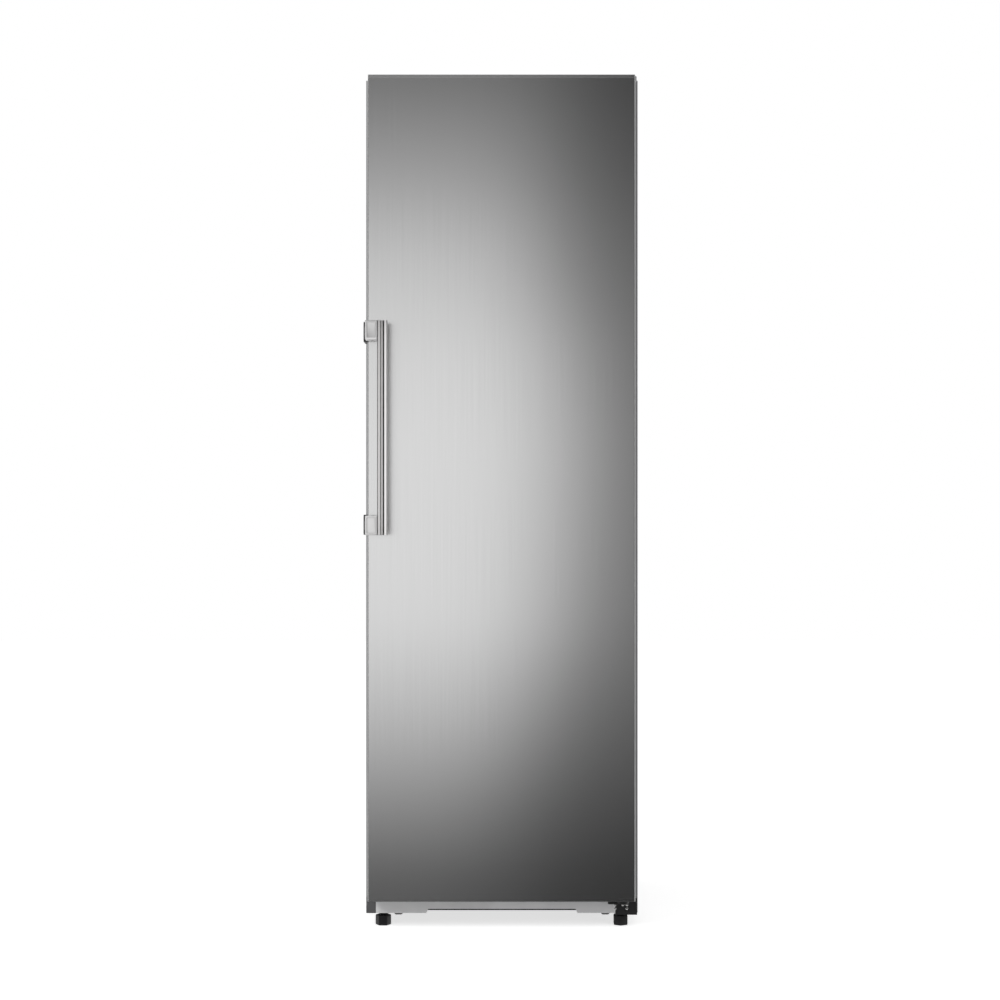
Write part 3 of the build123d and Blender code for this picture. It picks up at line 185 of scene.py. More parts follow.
def zinc_sheet():
    """Galvanised sheet: small crystals that differ in tone and gloss."""
    m = Nodes("zinc_sheet")
    cells = m.add("ShaderNodeTexVoronoi", feature="F1")
    cells.inputs["Scale"].default_value = 1.0
    m.link(m.coordinates(85), cells.inputs["Vector"])
    m.feed(
        Base_Color=m.ramp(cells.outputs["Color"], ((0.0, 0.46), (1.0, 0.57))),
        Roughness=m.remap(cells.outputs["Distance"], 0.38, 0.50, 0.0, 0.8),
    )
    m.set(Metallic=0.9)


def shelf_glass():
    """Clear in its faces and green in its ground edges."""
    m = Nodes("shelf_glass")
    normal = m.add("ShaderNodeNewGeometry").outputs["Normal"]
    size = m.add("ShaderNodeMath", operation="ABSOLUTE")
    m.link(m.split(normal)["Z"], size.inputs[0])
    level = size.outputs["Value"]
    m.feed(
        Base_Color=m.mix(m.remap(level, 0, 1, 0.3, 0.7), (0.45, 0.78, 0.66), (0.93, 0.975, 0.96)),
        Roughness=m.remap(level, 0.25, 0.02, 0.3, 0.7),
    )
    m.set(Transmission_Weight=0.92, IOR=1.52)


def satin_aluminium():
    """Satin anodised section: very fine lines along its length."""
    m = Nodes("satin_aluminium")
    lines = m.noise((2600, 2600, 12))
    m.feed(
        Base_Color=m.mix(m.remap(lines, 0, 1), (0.80, 0.785, 0.785), (0.87, 0.855, 0.855)),
        Roughness=m.remap(lines, 0.24, 0.32),
    )
    m.set(Metallic=1.0)
    m.bump(lines, 0.05, 0.0001)


def copper():
    """Bare tube, tarnished in patches."""
    m = Nodes("copper")
    tarnish = m.noise(30, 4.0)
    m.feed(
        Base_Color=m.mix(m.remap(tarnish, 0, 1), (0.62, 0.30, 0.17), (0.80, 0.46, 0.30)),
        Roughness=m.remap(tarnish, 0.25, 0.42),
    )
    m.set(Metallic=1.0)


def cap_silver():
    """The caps of the door: silver lacquer, darker towards the foot as painted shade for the door's dark
    lower edge.
    """
    m = Nodes("cap_silver")
    flakes = m.noise(600)
    silver = m.mix(flakes, (0.58, 0.58, 0.58), (0.64, 0.64, 0.64))
    # A darker silver for the bottom cap: painted shade
    dark = m.mix(flakes, (0.40, 0.40, 0.40), (0.46, 0.46, 0.46))
    height = m.split(m.texture.outputs["Object"])["Z"]
    m.feed(Base_Color=m.mix(m.remap(height, 0, 1, 0.9, 1.0), dark, silver))
    m.grain(0.28, relief=0.04)
    m.set(Metallic=1.0)


def grained(name, dark, light, roughness, scale=1500, relief=0.12, **values):
    """A moulded or cast surface: fine grain, faint clouds in its colour, and other values of the shader."""
    m = Nodes(name)
    m.feed(Base_Color=m.mix(m.remap(m.noise(14, 3.0), 0, 1), dark, light))
    m.grain(roughness, scale, relief)
    m.set(**values)


for make in (door_steel, silver_paint, zinc_sheet, shelf_glass, satin_aluminium, copper, cap_silver):
    make()

# Metals and paints
grained("hinge_steel", (0.020, 0.020, 0.021), (0.032, 0.032, 0.033), 0.38, Metallic=0.2)
grained("pin_steel", (0.60, 0.60, 0.60), (0.68, 0.68, 0.68), 0.24, 700, 0.05, Metallic=1.0)
grained("screw_zinc", (0.72, 0.72, 0.71), (0.80, 0.80, 0.79), 0.22, 1200, 0.04, Metallic=1.0)
grained("cast_aluminium", (0.66, 0.655, 0.655), (0.71, 0.705, 0.705), 0.34, 1400, 0.10, Metallic=1.0)
grained("black_paint", (0.018, 0.018, 0.018), (0.028, 0.028, 0.028), 0.35, 400)
grained("plinth_grey", (0.72, 0.72, 0.725), (0.79, 0.79, 0.795), 0.36, 900, 0.05)
# Plastics, rubber and foam
grained("white_liner", (0.80, 0.80, 0.79), (0.84, 0.84, 0.83), 0.28, 300, 0.04)
grained("white_plastic", (0.78, 0.78, 0.77), (0.82, 0.82, 0.81), 0.32, 900, 0.05)
grained("grey_plastic", (0.155, 0.155, 0.16), (0.185, 0.185, 0.19), 0.45)
grained("cover_grey", (0.10, 0.10, 0.102), (0.125, 0.125, 0.128), 0.45)
grained("print_grey", (0.05, 0.05, 0.052), (0.07, 0.07, 0.072), 0.5)
grained("dark_plastic", (0.010, 0.010, 0.011), (0.017, 0.017, 0.018), 0.45, Specular_IOR_Level=0.3)
grained("black_rubber", (0.015, 0.015, 0.015), (0.024, 0.024, 0.024), 0.62)
grained("gasket_vinyl", (0.17, 0.17, 0.175), (0.21, 0.21, 0.215), 0.5)
grained("foam", (0.80, 0.68, 0.40), (0.86, 0.75, 0.48), 0.8, 500, 0.4)
grained("clear_plastic", (0.965, 0.985, 0.985), (0.985, 1.0, 1.0), 0.05, 220, 0.02,
        Transmission_Weight=0.94, IOR=1.49)
# Lamp and display
grained("frosted_plastic", (0.93, 0.93, 0.91), (0.96, 0.96, 0.94), 0.5, 900,
        Transmission_Weight=0.25, IOR=1.49, Emission_Color=(1.0, 0.97, 0.92, 1.0), Emission_Strength=1.4)
grained("display_glass", (0.012, 0.013, 0.015), (0.018, 0.019, 0.021), 0.08, 60, 0.0, IOR=1.5)
grained("display_light", (0.10, 0.45, 0.60), (0.14, 0.50, 0.66), 0.4, 300, 0.0,
        Emission_Color=(0.35, 0.85, 1.0, 1.0), Emission_Strength=0.9)

# Nodes that look otherwise than their slot's plain finish; the base pan's black and the darker foot of the
# door caps are painted shade
look_of = {
    "plinth": "plinth_grey",
    "corner_cover": "cover_grey",
    # The base pan in black: painted shade for the shade seen through the plinth's notch
    "base_pan": "black_paint",
    # The door's caps: silver, with painted shade at the foot
    "door_end_caps": "cap_silver",
}
slot_of = {part["node"]: part["material_slot"] for part in frame["record"]["subparts"]}
for name, node in frame["nodes"].items():
    node.data.materials.clear()
    node.data.materials.append(materials[look_of.get(name, slot_of[name])])


# Helpers for meshes

TIP = 1e-6


def piece(name, build, body, slot, *replaced, angle=35, look=None):
    """A piece that rides on a body; a look of its own stands before the slot's."""
    bmesh.ops.recalc_face_normals(build, faces=build.faces)
    mesh = bpy.data.meshes.new(name)
    build.to_mesh(mesh)
    build.free()
    mesh.shade_smooth()
    mesh.set_sharp_from_angle(angle=math.radians(angle))
    mesh.materials.append(materials[look or slot])
    thing = bpy.data.objects.new(name, mesh)
    scene.collection.objects.link(thing)
    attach(thing, body)
    if replaced:
        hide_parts(*replaced)


def upright(x, y, z):
    """A place whose own axes are the part's."""
    return Matrix.Translation((x, y, z))


def lying_x(x, y, z):
    """A place whose own Z axis runs along the part's X axis."""
    return upright(x, y, z) @ Matrix.Rotation(math.radians(90), 4, "Y")


def lying_y(x, y, z):
    """A place whose own Z axis runs towards the front."""
    return upright(x, y, z) @ Matrix.Rotation(math.radians(90), 4, "X")


def rectangle(x0, x1, y0, y1):
    return [(x0, y0), (x1, y0), (x1, y1), (x0, y1)]


def turns(count):
    """Angles in equal steps, once round."""
    return [2 * math.pi * k / count for k in range(count)]


def polar(radius, turn, height):
    return Vector((radius * math.cos(turn), radius * math.sin(turn), height))


def skin(build, rings, close_ends=True, close_loop=False):
    """Faces between rings of equal length; a ring of one point makes a tip."""
    pairs = list(zip(rings, rings[1:]))
    if close_loop:
        pairs.append((rings[-1], rings[0]))
    for low, high in pairs:
        count = max(len(low), len(high))
        for k in range(count):
            n = (k + 1) % count
            if len(low) == 1:
                build.faces.new((low[0], high[n], high[k]))
            elif len(high) == 1:
                build.faces.new((low[k], low[n], high[0]))
            else:
                build.faces.new((low[k], low[n], high[n], high[k]))
    if close_ends and not close_loop:
        for ring in (rings[0], rings[-1]):
            if len(ring) > 2:
                build.faces.new(ring)


def lathe(build, profile, place, sides=48, closed=False):
    """Turn a profile of (radius, height) pairs round the place's Z axis."""
    rings = []
    for radius, height in profile:
        around = turns(sides) if radius > TIP else [0.0]
        rings.append([build.verts.new(place @ polar(radius, t, height)) for t in around])
    skin(build, rings, close_loop=closed)


def column(build, outline, heights, place=Matrix.Identity(4), centre=(0.0, 0.0)):
    """Stack an outline at several heights; each height comes with a scale about the outline's centre."""
    cx, cy = centre
    rings = []
    for z, scale in heights:
        rings.append([build.verts.new(place @ Vector((cx + (x - cx) * scale, cy + (y - cy) * scale, z)))
                      for x, y in outline])
    skin(build, rings)


def eased(start, end, ease, scale):
    """Heights of a column that draws in a little at both ends."""
    return [(start, scale), (start + ease, 1.0), (end - ease, 1.0), (end, scale)]


def across(build, outline, x0, x1, ease=0.0004):
    """A bar along X with an outline of (y, z) points and eased ends."""
    middle = (sum(y for y, _ in outline) / len(outline), sum(z for _, z in outline) / len(outline))
    own_z_along_x = Matrix(((0, 0, 1, 0), (1, 0, 0, 0), (0, 1, 0, 0), (0, 0, 0, 1)))
    column(build, outline, eased(x0, x1, ease, 0.985), own_z_along_x, middle)


def rounded_box(build, low, high, bevel, segments=3):
    """A box with rounded edges."""
    low, high = Vector(low), Vector(high)
    place = Matrix.Translation((low + high) / 2) @ Matrix.Diagonal((*(high - low), 1.0))
    made = bmesh.ops.create_cube(build, size=1.0, matrix=place)["verts"]
    edges = list(dict.fromkeys(edge for vertex in made for edge in vertex.link_edges))
    bmesh.ops.bevel(build, geom=edges, offset=bevel, segments=segments, profile=0.5, affect="EDGES",
                    clamp_overlap=True)


def round_corners(points, radii, steps=5):
    """An outline with each corner turned into an arc of its own radius."""
    outline = []
    for k, (corner, radius) in enumerate(zip(points, radii)):
        here = Vector((*corner, 0.0))
        a = (Vector((*points[k - 1], 0.0)) - here).normalized()
        b = (Vector((*points[(k + 1) % len(points)], 0.0)) - here).normalized()
        half = a.angle(b) / 2
        reach = radius / math.tan(half)
        middle = here + (a + b).normalized() * (radius / math.sin(half))
        start = here + a * reach - middle
        end = here + b * reach - middle
        turn = start.xy.angle_signed(end.xy)
        for n in range(steps + 1):
            point = middle + Matrix.Rotation(-turn * n / steps, 4, "Z") @ start
            outline.append((point.x, point.y))
    return outline


def plan_ring(build, x0, x1, y0, y1, radii, inset, level):
    """A ring of points round a plan with rounded corners; level gives the height at each (x, y)."""
    corners = rectangle(x0 + inset, x1 - inset, y0 + inset, y1 - inset)
    smallest, steps, between = 0.0005, 6, 6
    arcs = round_corners(corners, [max(r - inset, smallest) for r in radii], steps)
    ring = []
    for first in range(0, len(arcs), steps + 1):
        after = first + steps + 1
        ring += arcs[first:after]
        start, end = arcs[after - 1], arcs[after % len(arcs)]
        for n in range(1, between):
            f = n / between
            ring.append((start[0] + (end[0] - start[0]) * f, start[1] + (end[1] - start[1]) * f))
    return [build.verts.new((x, y, level(x, y))) for x, y in ring]


def open_tray(build, low, high, radii, wall, base, top=None, ease=0.002):
    """A tray with rounded corners, an eased rim and a rounded inner floor."""
    x0, y0, z0 = low
    x1, y1, z1 = high
    top = top or (lambda x, y: z1)

    def from_floor(height):
        return lambda x, y: z0 + height

    def from_rim(share):
        return lambda x, y: top(x, y) - wall * share

    levels = [
        (ease, from_floor(0.0)),
        (ease * 0.3, from_floor(ease * 0.3)),
        (0.0, from_floor(ease)),
        (0.0, from_rim(0.35)),
        (wall * 0.15, from_rim(0.1)),
        (wall * 0.4, from_rim(0.0)),
        (wall * 0.6, from_rim(0.0)),
        (wall * 0.85, from_rim(0.1)),
        (wall, from_rim(0.35)),
        (wall, from_floor(base + ease)),
        (wall + ease * 0.3, from_floor(base + ease * 0.3)),
        (wall + ease, from_floor(base)),
    ]
    skin(build, [plan_ring(build, x0, x1, y0, y1, radii, inset, level) for inset, level in levels])


def tube(build, points, radius, sides=12):
    """A round tube along a line of points, with flat ends."""
    points = [Vector(p) for p in points]
    ahead = (points[1] - points[0]).normalized()
    side = ahead.orthogonal().normalized()
    rings = []
    for k, point in enumerate(points):
        onward = (point - points[k - 1]).normalized() if k else ahead
        if 0 < k < len(points) - 1:
            onward = ((points[k + 1] - point).normalized() + onward).normalized()
        side = (side - onward * side.dot(onward)).normalized()
        other = onward.cross(side)
        rings.append([build.verts.new(point + (side * math.cos(t) + other * math.sin(t)) * radius)
                      for t in turns(sides)])
    skin(build, rings)


def bent_line(points, bend, steps=8):
    """Straight runs joined by round bends."""
    points = [Vector(p) for p in points]
    line = [points[0]]
    for before, here, after in zip(points, points[1:], points[2:]):
        towards = (before - here).normalized()
        away = (after - here).normalized()
        centre = here + (towards + away) * bend
        for n in range(steps + 1):
            t = math.radians(90 * n / steps)
            line.append(centre - away * bend * math.cos(t) - towards * bend * math.sin(t))
    return line + [points[-1]]


# Handle

handle_low, handle_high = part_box("handle_bar")
levers_low, levers_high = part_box("handle_levers")
BLOCK_HEIGHT = 0.0415
BLOCK_WALL = 0.003
SHOE_REACH = 0.0035

# Outline of the bar, its centre, and the left, right and depth of the dark strips (painted shade) in its
# grooves and left step, in millimetres
BAR_OUTLINE = (
    (0.0, 14.0), (0.0, 3.6), (1.2, 3.6), (1.2, 1.5), (1.5, 1.3), (6.2, 2.32), (6.4, 2.5), (6.5, 3.9),
    (7.5, 3.9), (7.6, 1.7), (8.0, 1.3), (11.8, 2.28), (12.3, 2.9), (12.5, 7.2), (14.3, 7.2), (14.5, 1.3),
    (14.8, 0.35), (15.4, 0.05), (16.8, 0.0), (19.6, 0.05), (20.3, 0.25), (20.9, 0.75), (21.3, 1.5),
    (21.5, 2.6), (21.5, 11.2), (21.2, 12.5), (20.4, 13.5), (19.2, 14.0),
)
BAR_CENTRE = (11.5, 8.5)
GROOVE_SHADE_STRIPS = ((0.0, 1.2, 2.4), (6.5, 7.5, 3.0), (12.5, 14.3, 5.0))
SHADE_STRIP_THICKNESS = 3.0


def on_bar(x, y):
    """A place on the bar's section, in metres, from its place in millimetres."""
    return handle_low.x + x / 1000, handle_low.y + y / 1000


def handle_bar():
    """The extruded bar: two narrow lands with a groove between them, a deep groove and a flat nose."""
    z0, z1 = handle_low.z, handle_high.z
    heights = [(z0, 0.965), (z0 + 0.0003, 0.99), (z0 + 0.0008, 1.0)]
    heights += [(z0 + (z1 - z0) * n / 12, 1.0) for n in range(1, 12)]
    heights += [(z1 - 0.0008, 1.0), (z1 - 0.0003, 0.99), (z1, 0.965)]
    build = bmesh.new()
    column(build, [on_bar(x, y) for x, y in BAR_OUTLINE], heights, centre=on_bar(*BAR_CENTRE))
    piece("handle_bar_section", build, "handle", "satin_aluminium", "handle_bar", angle=24)
    # Dark strips in the two grooves and in the step at the left edge: painted shade for the shade in the
    # grooves and along the bar's edge
    build = bmesh.new()
    short = 0.0006
    for left, right, depth in GROOVE_SHADE_STRIPS:
        rounded_box(build, (*on_bar(left, depth), z0 + short),
                    (*on_bar(right, depth + SHADE_STRIP_THICKNESS), z1 - short), 0.0003, 2)
    piece("handle_bar_shade_strips", build, "handle", "satin_aluminium", "handle_bar", look="dark_plastic")


def handle_lever(build, z0, z1):
    """A die-cast lever: a hollow block with a framed front field."""
    x0, x1 = levers_low.x + SHOE_REACH, levers_high.x
    y0, y1 = levers_low.y, levers_high.y

    def ring(inset, depth, corner=0.0012):
        outline = round_corners(rectangle(x0 + inset, x1 - inset, z0 + inset, z1 - inset), [corner] * 4, 4)
        return [build.verts.new((x, y0 + depth, z)) for x, z in outline]

    rings = [
        ring(BLOCK_WALL, y1 - y0),
        ring(0.0, y1 - y0),
        ring(0.0, 0.0012),
        ring(0.0002, 0.0007),
        ring(0.0007, 0.0002),
        ring(0.0012, 0.0),
        ring(0.0038, 0.0),
        ring(0.0041, 0.0002),
        ring(0.0045, 0.0008, 0.0008),
        ring(0.0049, 0.0010, 0.0008),
    ]
    skin(build, rings, close_ends=False)
    build.faces.new(rings[-1])
    hollow = ring(BLOCK_WALL, 0.005, 0.002)
    skin(build, [hollow, rings[0]], close_ends=False)
    build.faces.new(hollow)


def handle_levers():
    """The levers, and the shoes by which they press on the push rods; the shoes' dark grey is painted shade
    for the shade at each lever's left side.
    """
    castings, shoes = bmesh.new(), bmesh.new()
    wide, deep, margin = 0.0055, 0.006, 0.0115
    for z0 in (levers_low.z, levers_high.z - BLOCK_HEIGHT):
        z1 = z0 + BLOCK_HEIGHT
        handle_lever(castings, z0, z1)
        rounded_box(shoes, (levers_low.x, levers_high.y - deep, z0 + margin),
                    (levers_low.x + wide, levers_high.y, z1 - margin), 0.0012)
    piece("handle_lever_castings", castings, "handle", "satin_aluminium", "handle_levers", angle=20,
          look="cast_aluminium")
    # The shoes' dark grey: painted shade at the left of each lever
    piece("handle_lever_shoes", shoes, "handle", "satin_aluminium", "handle_levers", look="cover_grey")


handle_bar()
handle_levers()


# Feet and rollers

PAD_RADIUS = 0.0175
STEM_RADIUS = 0.005
THREAD_DEPTH = 0.0006
THREAD_PITCH = 0.0015
HUB_RADIUS = 0.0085
AXLE_BORE = 0.00405


def stem_profile(low, high):
    """A threaded stem as fine ridges."""
    core = STEM_RADIUS - THREAD_DEPTH
    profile = [(0.0, low), (core, low)]
    for n in range(int((high - low) / THREAD_PITCH)):
        z = low + n * THREAD_PITCH
        profile += [(core, z + 0.1 * THREAD_PITCH), (STEM_RADIUS, z + 0.5 * THREAD_PITCH),
                    (core, z + 0.9 * THREAD_PITCH)]
    return profile + [(STEM_RADIUS - 0.0010, high), (0.0, high)]


def foot(node, turn):
    """A six-sided pad, turned by some degrees, with a collar and a threaded stem."""
    low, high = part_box(node)
    place = upright((low.x + high.x) / 2, (low.y + high.y) / 2, 0.0)
    angles = [math.radians(60 * k + turn) for k in range(6)]
    hexagon = [(PAD_RADIUS * math.cos(t), PAD_RADIUS * math.sin(t)) for t in angles]
    build = bmesh.new()
    column(build, round_corners(hexagon, [0.0022] * 6, 3),
           [(0.0, 0.90), (0.0006, 0.955), (0.0016, 0.985), (0.0030, 1.0), (0.0190, 1.0), (0.0208, 0.985),
            (0.0218, 0.955), (0.0220, 0.90)], place)
    lathe(build, [(0.0, 0.021), (0.0105, 0.021), (0.0105, 0.0222), (0.009, 0.0230), (0.009, 0.0251),
                  (0.0085, 0.0257), (0.0, 0.0257)], place, 32)
    lathe(build, stem_profile(0.0255, high.z), place, 24)
    piece(f"{node}_pad", build, node, "dark_plastic", node)


def roller(node):
    """A wheel with an eased tread, a recess in each side and a hub with a bore."""
    low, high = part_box(node)
    radius = (high.z - low.z) / 2
    half = (high.x - low.x) / 2
    side = [
        (AXLE_BORE, half), (HUB_RADIUS, half), (HUB_RADIUS, half - 0.003), (radius - 0.0045, half - 0.003),
        (radius - 0.0040, half), (radius - 0.0028, half), (radius - 0.0004, half - 0.0024),
        (radius, half - 0.0036),
    ]
    profile = [(r, -x) for r, x in side] + side[::-1]
    build = bmesh.new()
    lathe(build, profile, lying_x(*(low + high) / 2), 48, closed=True)
    piece(f"{node}_wheel", build, node, "dark_plastic", node)


foot("foot_left", 0)
foot("foot_right", 30)
for name in ("front_roller_left", "front_roller_right", "rear_roller_left", "rear_roller_right"):
    roller(name)


# Cooling machine

POT_X, POT_Y, POT_BASE = 0.060, 0.2325, 0.072
POT_RADIUS = 0.072
STUB_X = POT_X - POT_RADIUS - 0.012
STUB_Z = POT_BASE + 0.100
STUB_APART = 0.020
TUBE_RADIUS = 0.0025
COIL_HALF = 0.170
COIL_BOTTOM = 0.420
COIL_PITCH = 0.084
COIL_PASSES = 14
WIRE_COUNT = 20
WIRE_PITCH = 0.0075
WIRE_RADIUS = 0.0007


def compressor():
    """Two deep-drawn halves with a welded seam, on a pressed foot plate, with two tube stubs."""
    build = bmesh.new()
    shares = [
        (0.78, 0.0015), (0.90, 0.006), (0.955, 0.014), (0.97, 0.024), (0.97, 0.066), (0.985, 0.068),
        (1.045, 0.069), (1.045, 0.0745), (0.985, 0.0755), (0.94, 0.078), (0.94, 0.108), (0.925, 0.120),
        (0.87, 0.131), (0.76, 0.1395), (0.58, 0.1455), (0.34, 0.149),
    ]
    profile = [(0.0, 0.0), (0.030, 0.0), *((POT_RADIUS * share, z) for share, z in shares), (0.0, 0.150)]
    lathe(build, profile, upright(POT_X, POT_Y, POT_BASE), 72)
    piece("compressor_pot", build, "cabinet", "black_paint", "compressor")

    build = bmesh.new()
    outline = [(-0.104, -0.056), (-0.068, -0.056), (-0.060, -0.036), (0.060, -0.036), (0.068, -0.056),
               (0.104, -0.056), (0.104, 0.056), (0.068, 0.056), (0.060, 0.036), (-0.060, 0.036),
               (-0.068, 0.056), (-0.104, 0.056)]
    outline = round_corners(outline, [0.008, 0.006, 0.006, 0.006, 0.006, 0.008] * 2, 4)
    column(build, outline, eased(-0.003, 0.0, 0.0004, 0.998), upright(POT_X, POT_Y, POT_BASE))
    for side in (-1, 1):
        lathe(build, [(0.0028, 0.0), (0.0040, 0.0), (0.0040, 0.014), (0.0052, 0.016), (0.0052, 0.022),
                      (0.0028, 0.022)], lying_x(STUB_X, POT_Y + side * STUB_APART, STUB_Z), 24, closed=True)
    piece("compressor_foot_plate", build, "cabinet", "black_paint", "compressor")


def grommets():
    """Four ringed rubber feet with a neck through the foot plate."""
    build = bmesh.new()
    for i in (-1, 1):
        for j in (-1, 1):
            place = upright(POT_X + i * 0.088, POT_Y + j * 0.044, 0.057)
            lathe(build, [(0.0, 0.0), (0.0115, 0.0), (0.012, 0.001), (0.012, 0.003), (0.0108, 0.0042),
                          (0.0108, 0.0052), (0.012, 0.0064), (0.012, 0.0084), (0.0108, 0.0096),
                          (0.0112, 0.0115), (0.0108, 0.012), (0.0066, 0.012), (0.0066, 0.0152),
                          (0.0070, 0.0156), (0.0066, 0.0180), (0.0, 0.0180)], place, 32)
    piece("compressor_grommet_rings", build, "cabinet", "black_rubber", "compressor_grommets")


def drip_tray():
    low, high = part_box("drip_tray")
    build = bmesh.new()
    open_tray(build, low, high, (0.014,) * 4, 0.002, 0.002, ease=0.004)
    piece("drip_tray_basin", build, "cabinet", "dark_plastic", "drip_tray")


def condenser():
    """A folded tube between two rows of upright wires."""
    low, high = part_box("condenser")
    y = (low.y + high.y) / 2
    bend = COIL_PITCH / 2
    points = []
    for n in range(COIL_PASSES):
        z = COIL_BOTTOM + n * COIL_PITCH
        end = 1 if n % 2 == 0 else -1
        points += [(-end * COIL_HALF, y, z), (end * COIL_HALF, y, z)]
        if n < COIL_PASSES - 1:
            for k in range(1, 16):
                t = math.radians(180 * k / 16 - 90)
                points.append((end * (COIL_HALF + bend * math.cos(t)), y, z + bend + bend * math.sin(t)))
    build = bmesh.new()
    tube(build, points, TUBE_RADIUS)
    for n in range(-WIRE_COUNT, WIRE_COUNT + 1):
        for side in (-1, 1):
            place = upright(n * WIRE_PITCH, y + side * 0.00285, low.z)
            lathe(build, [(WIRE_RADIUS, 0.0), (WIRE_RADIUS, high.z - low.z)], place, 8)
    piece("condenser_coil", build, "cabinet", "black_paint", "condenser")


def refrigerant_lines():
    """The hot line up the wall to the coil, the line from the coil to the dryer, and the return line."""
    low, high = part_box("refrigerant_tubes")
    wall = high.y - TUBE_RADIUS
    riser = low.x + TUBE_RADIUS
    coil_top = COIL_BOTTOM + (COIL_PASSES - 1) * COIL_PITCH
    hot, cold = POT_Y - STUB_APART, POT_Y + STUB_APART
    hot_x, hot_level = STUB_X - 0.070, STUB_Z - 0.060
    cold_x, cold_top = STUB_X - 0.040, 0.299
    coil_side, crossing = -0.194, 0.212
    dryer_x, dryer_y, dryer_top = -0.130, 0.2805, 0.188
    routes = [
        [(STUB_X, hot, STUB_Z), (hot_x, hot, STUB_Z), (hot_x, hot, hot_level), (riser, hot, hot_level),
         (riser, wall, hot_level), (riser, wall, coil_top), (-COIL_HALF, wall, coil_top)],
        [(-COIL_HALF, wall, COIL_BOTTOM), (coil_side, wall, COIL_BOTTOM), (coil_side, wall, crossing),
         (dryer_x, wall, crossing), (dryer_x, dryer_y, crossing), (dryer_x, dryer_y, dryer_top)],
        [(STUB_X, cold, STUB_Z), (cold_x, cold, STUB_Z), (cold_x, cold, cold_top)],
    ]
    build = bmesh.new()
    for route in routes:
        tube(build, bent_line(route, 0.011), TUBE_RADIUS)
    piece("refrigerant_lines", build, "cabinet", "copper", "refrigerant_tubes")


def dryer():
    """A spun can with a neck at each end."""
    low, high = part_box("filter_dryer")
    tall = high.z - low.z
    profile = [(0.0, 0.0), (0.0032, 0.0), (0.0034, 0.006), (0.0048, 0.009), (0.0082, 0.013),
               (0.0098, 0.017), (0.0100, 0.020), (0.0100, 0.026), (0.0096, 0.027), (0.0096, 0.028),
               (0.0100, 0.029)]
    profile += [(radius, tall - height) for radius, height in reversed(profile)]
    build = bmesh.new()
    lathe(build, profile, upright((low.x + high.x) / 2, (low.y + high.y) / 2, low.z), 32)
    piece("filter_dryer_can", build, "cabinet", "copper", "filter_dryer")


compressor()
grommets()
drip_tray()
condenser()
refrigerant_lines()
dryer()


# Fan

FAN_Z = 1.610
FAN_BLADES = 5
BLADE_ROOT = 0.017
BLADE_TIP = 0.0612
BLADE_SECTIONS = 7


def fan_blade(build, spin, middle):
    """A twisted blade that thins and sweeps back towards its tip."""
    rings = []
    for n in range(BLADE_SECTIONS):
        f = n / (BLADE_SECTIONS - 1)
        radius = BLADE_ROOT + (BLADE_TIP - BLADE_ROOT) * f
        half = 0.0095 + 0.0040 * math.sin(math.pi * min(1.0, f * 1.15) * 0.62)
        pitch = math.radians(42 - 16 * f)
        sweep_back = 0.006 * f * f
        thickness = 0.0010 - 0.0004 * f
        ring = []
        for a, b in ((-1, 0), (-0.5, 1), (0.5, 1), (1, 0), (0.5, -1), (-0.5, -1)):
            crown = 0.0016 * (1 - a * a)
            x = a * half * math.cos(pitch) + sweep_back
            y = a * half * math.sin(pitch) + crown + b * thickness
            ring.append(build.verts.new(middle + spin @ Vector((x, y, radius))))
        rings.append(ring)
    skin(build, rings)


def fan_rotor():
    """A hub with twisted blades."""
    low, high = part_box("fan_rotor")
    deep = high.y - low.y
    build = bmesh.new()
    hub = [(0.00305, 0.0), (0.018, 0.0), (0.0196, 0.0006), (0.020, 0.002), (0.020, deep - 0.003),
           (0.0185, deep - 0.001), (0.015, deep), (0.00305, deep)]
    lathe(build, hub, lying_y(0, high.y, FAN_Z), 40, closed=True)
    middle = Vector((0, (low.y + high.y) / 2, FAN_Z))
    for blade in range(FAN_BLADES):
        fan_blade(build, Matrix.Rotation(math.radians(360 / FAN_BLADES * blade), 4, "Y"), middle)
    piece("fan_rotor_blades", build, "fan", "white_plastic", "fan_rotor")


fan_rotor()


# Door

SHEET = 0.001
RACK_COUNT = 4
RACK_HEIGHT = 0.074
RACK_WALL = 0.003
SCREW_RADIUS = 0.0032
SCREW_HEIGHT = 0.0022
SCREW_SIDES = 40


def door_skin():
    """One sheet folded round the door: a flat front and two sides, with smooth upright bends."""
    x0, x1, y0, y1 = door_low.x, door_high.x, door_low.y, door_high.y
    points = [(x0, y1), (x0, y0), (x1, y0), (x1, y1), (x1 - SHEET, y1), (x1 - SHEET, y0 + SHEET),
              (x0 + SHEET, y0 + SHEET), (x0 + SHEET, y1)]
    outline = round_corners(points, [0.0003, 0.003, 0.003, 0.0003, 0.0003, 0.002, 0.002, 0.0003], 8)
    build = bmesh.new()
    column(build, outline, [(door_low.z + (door_high.z - door_low.z) * n / 16, 1.0) for n in range(17)])
    piece("door_skin_sheet", build, "door", "door_steel", "door_skin")


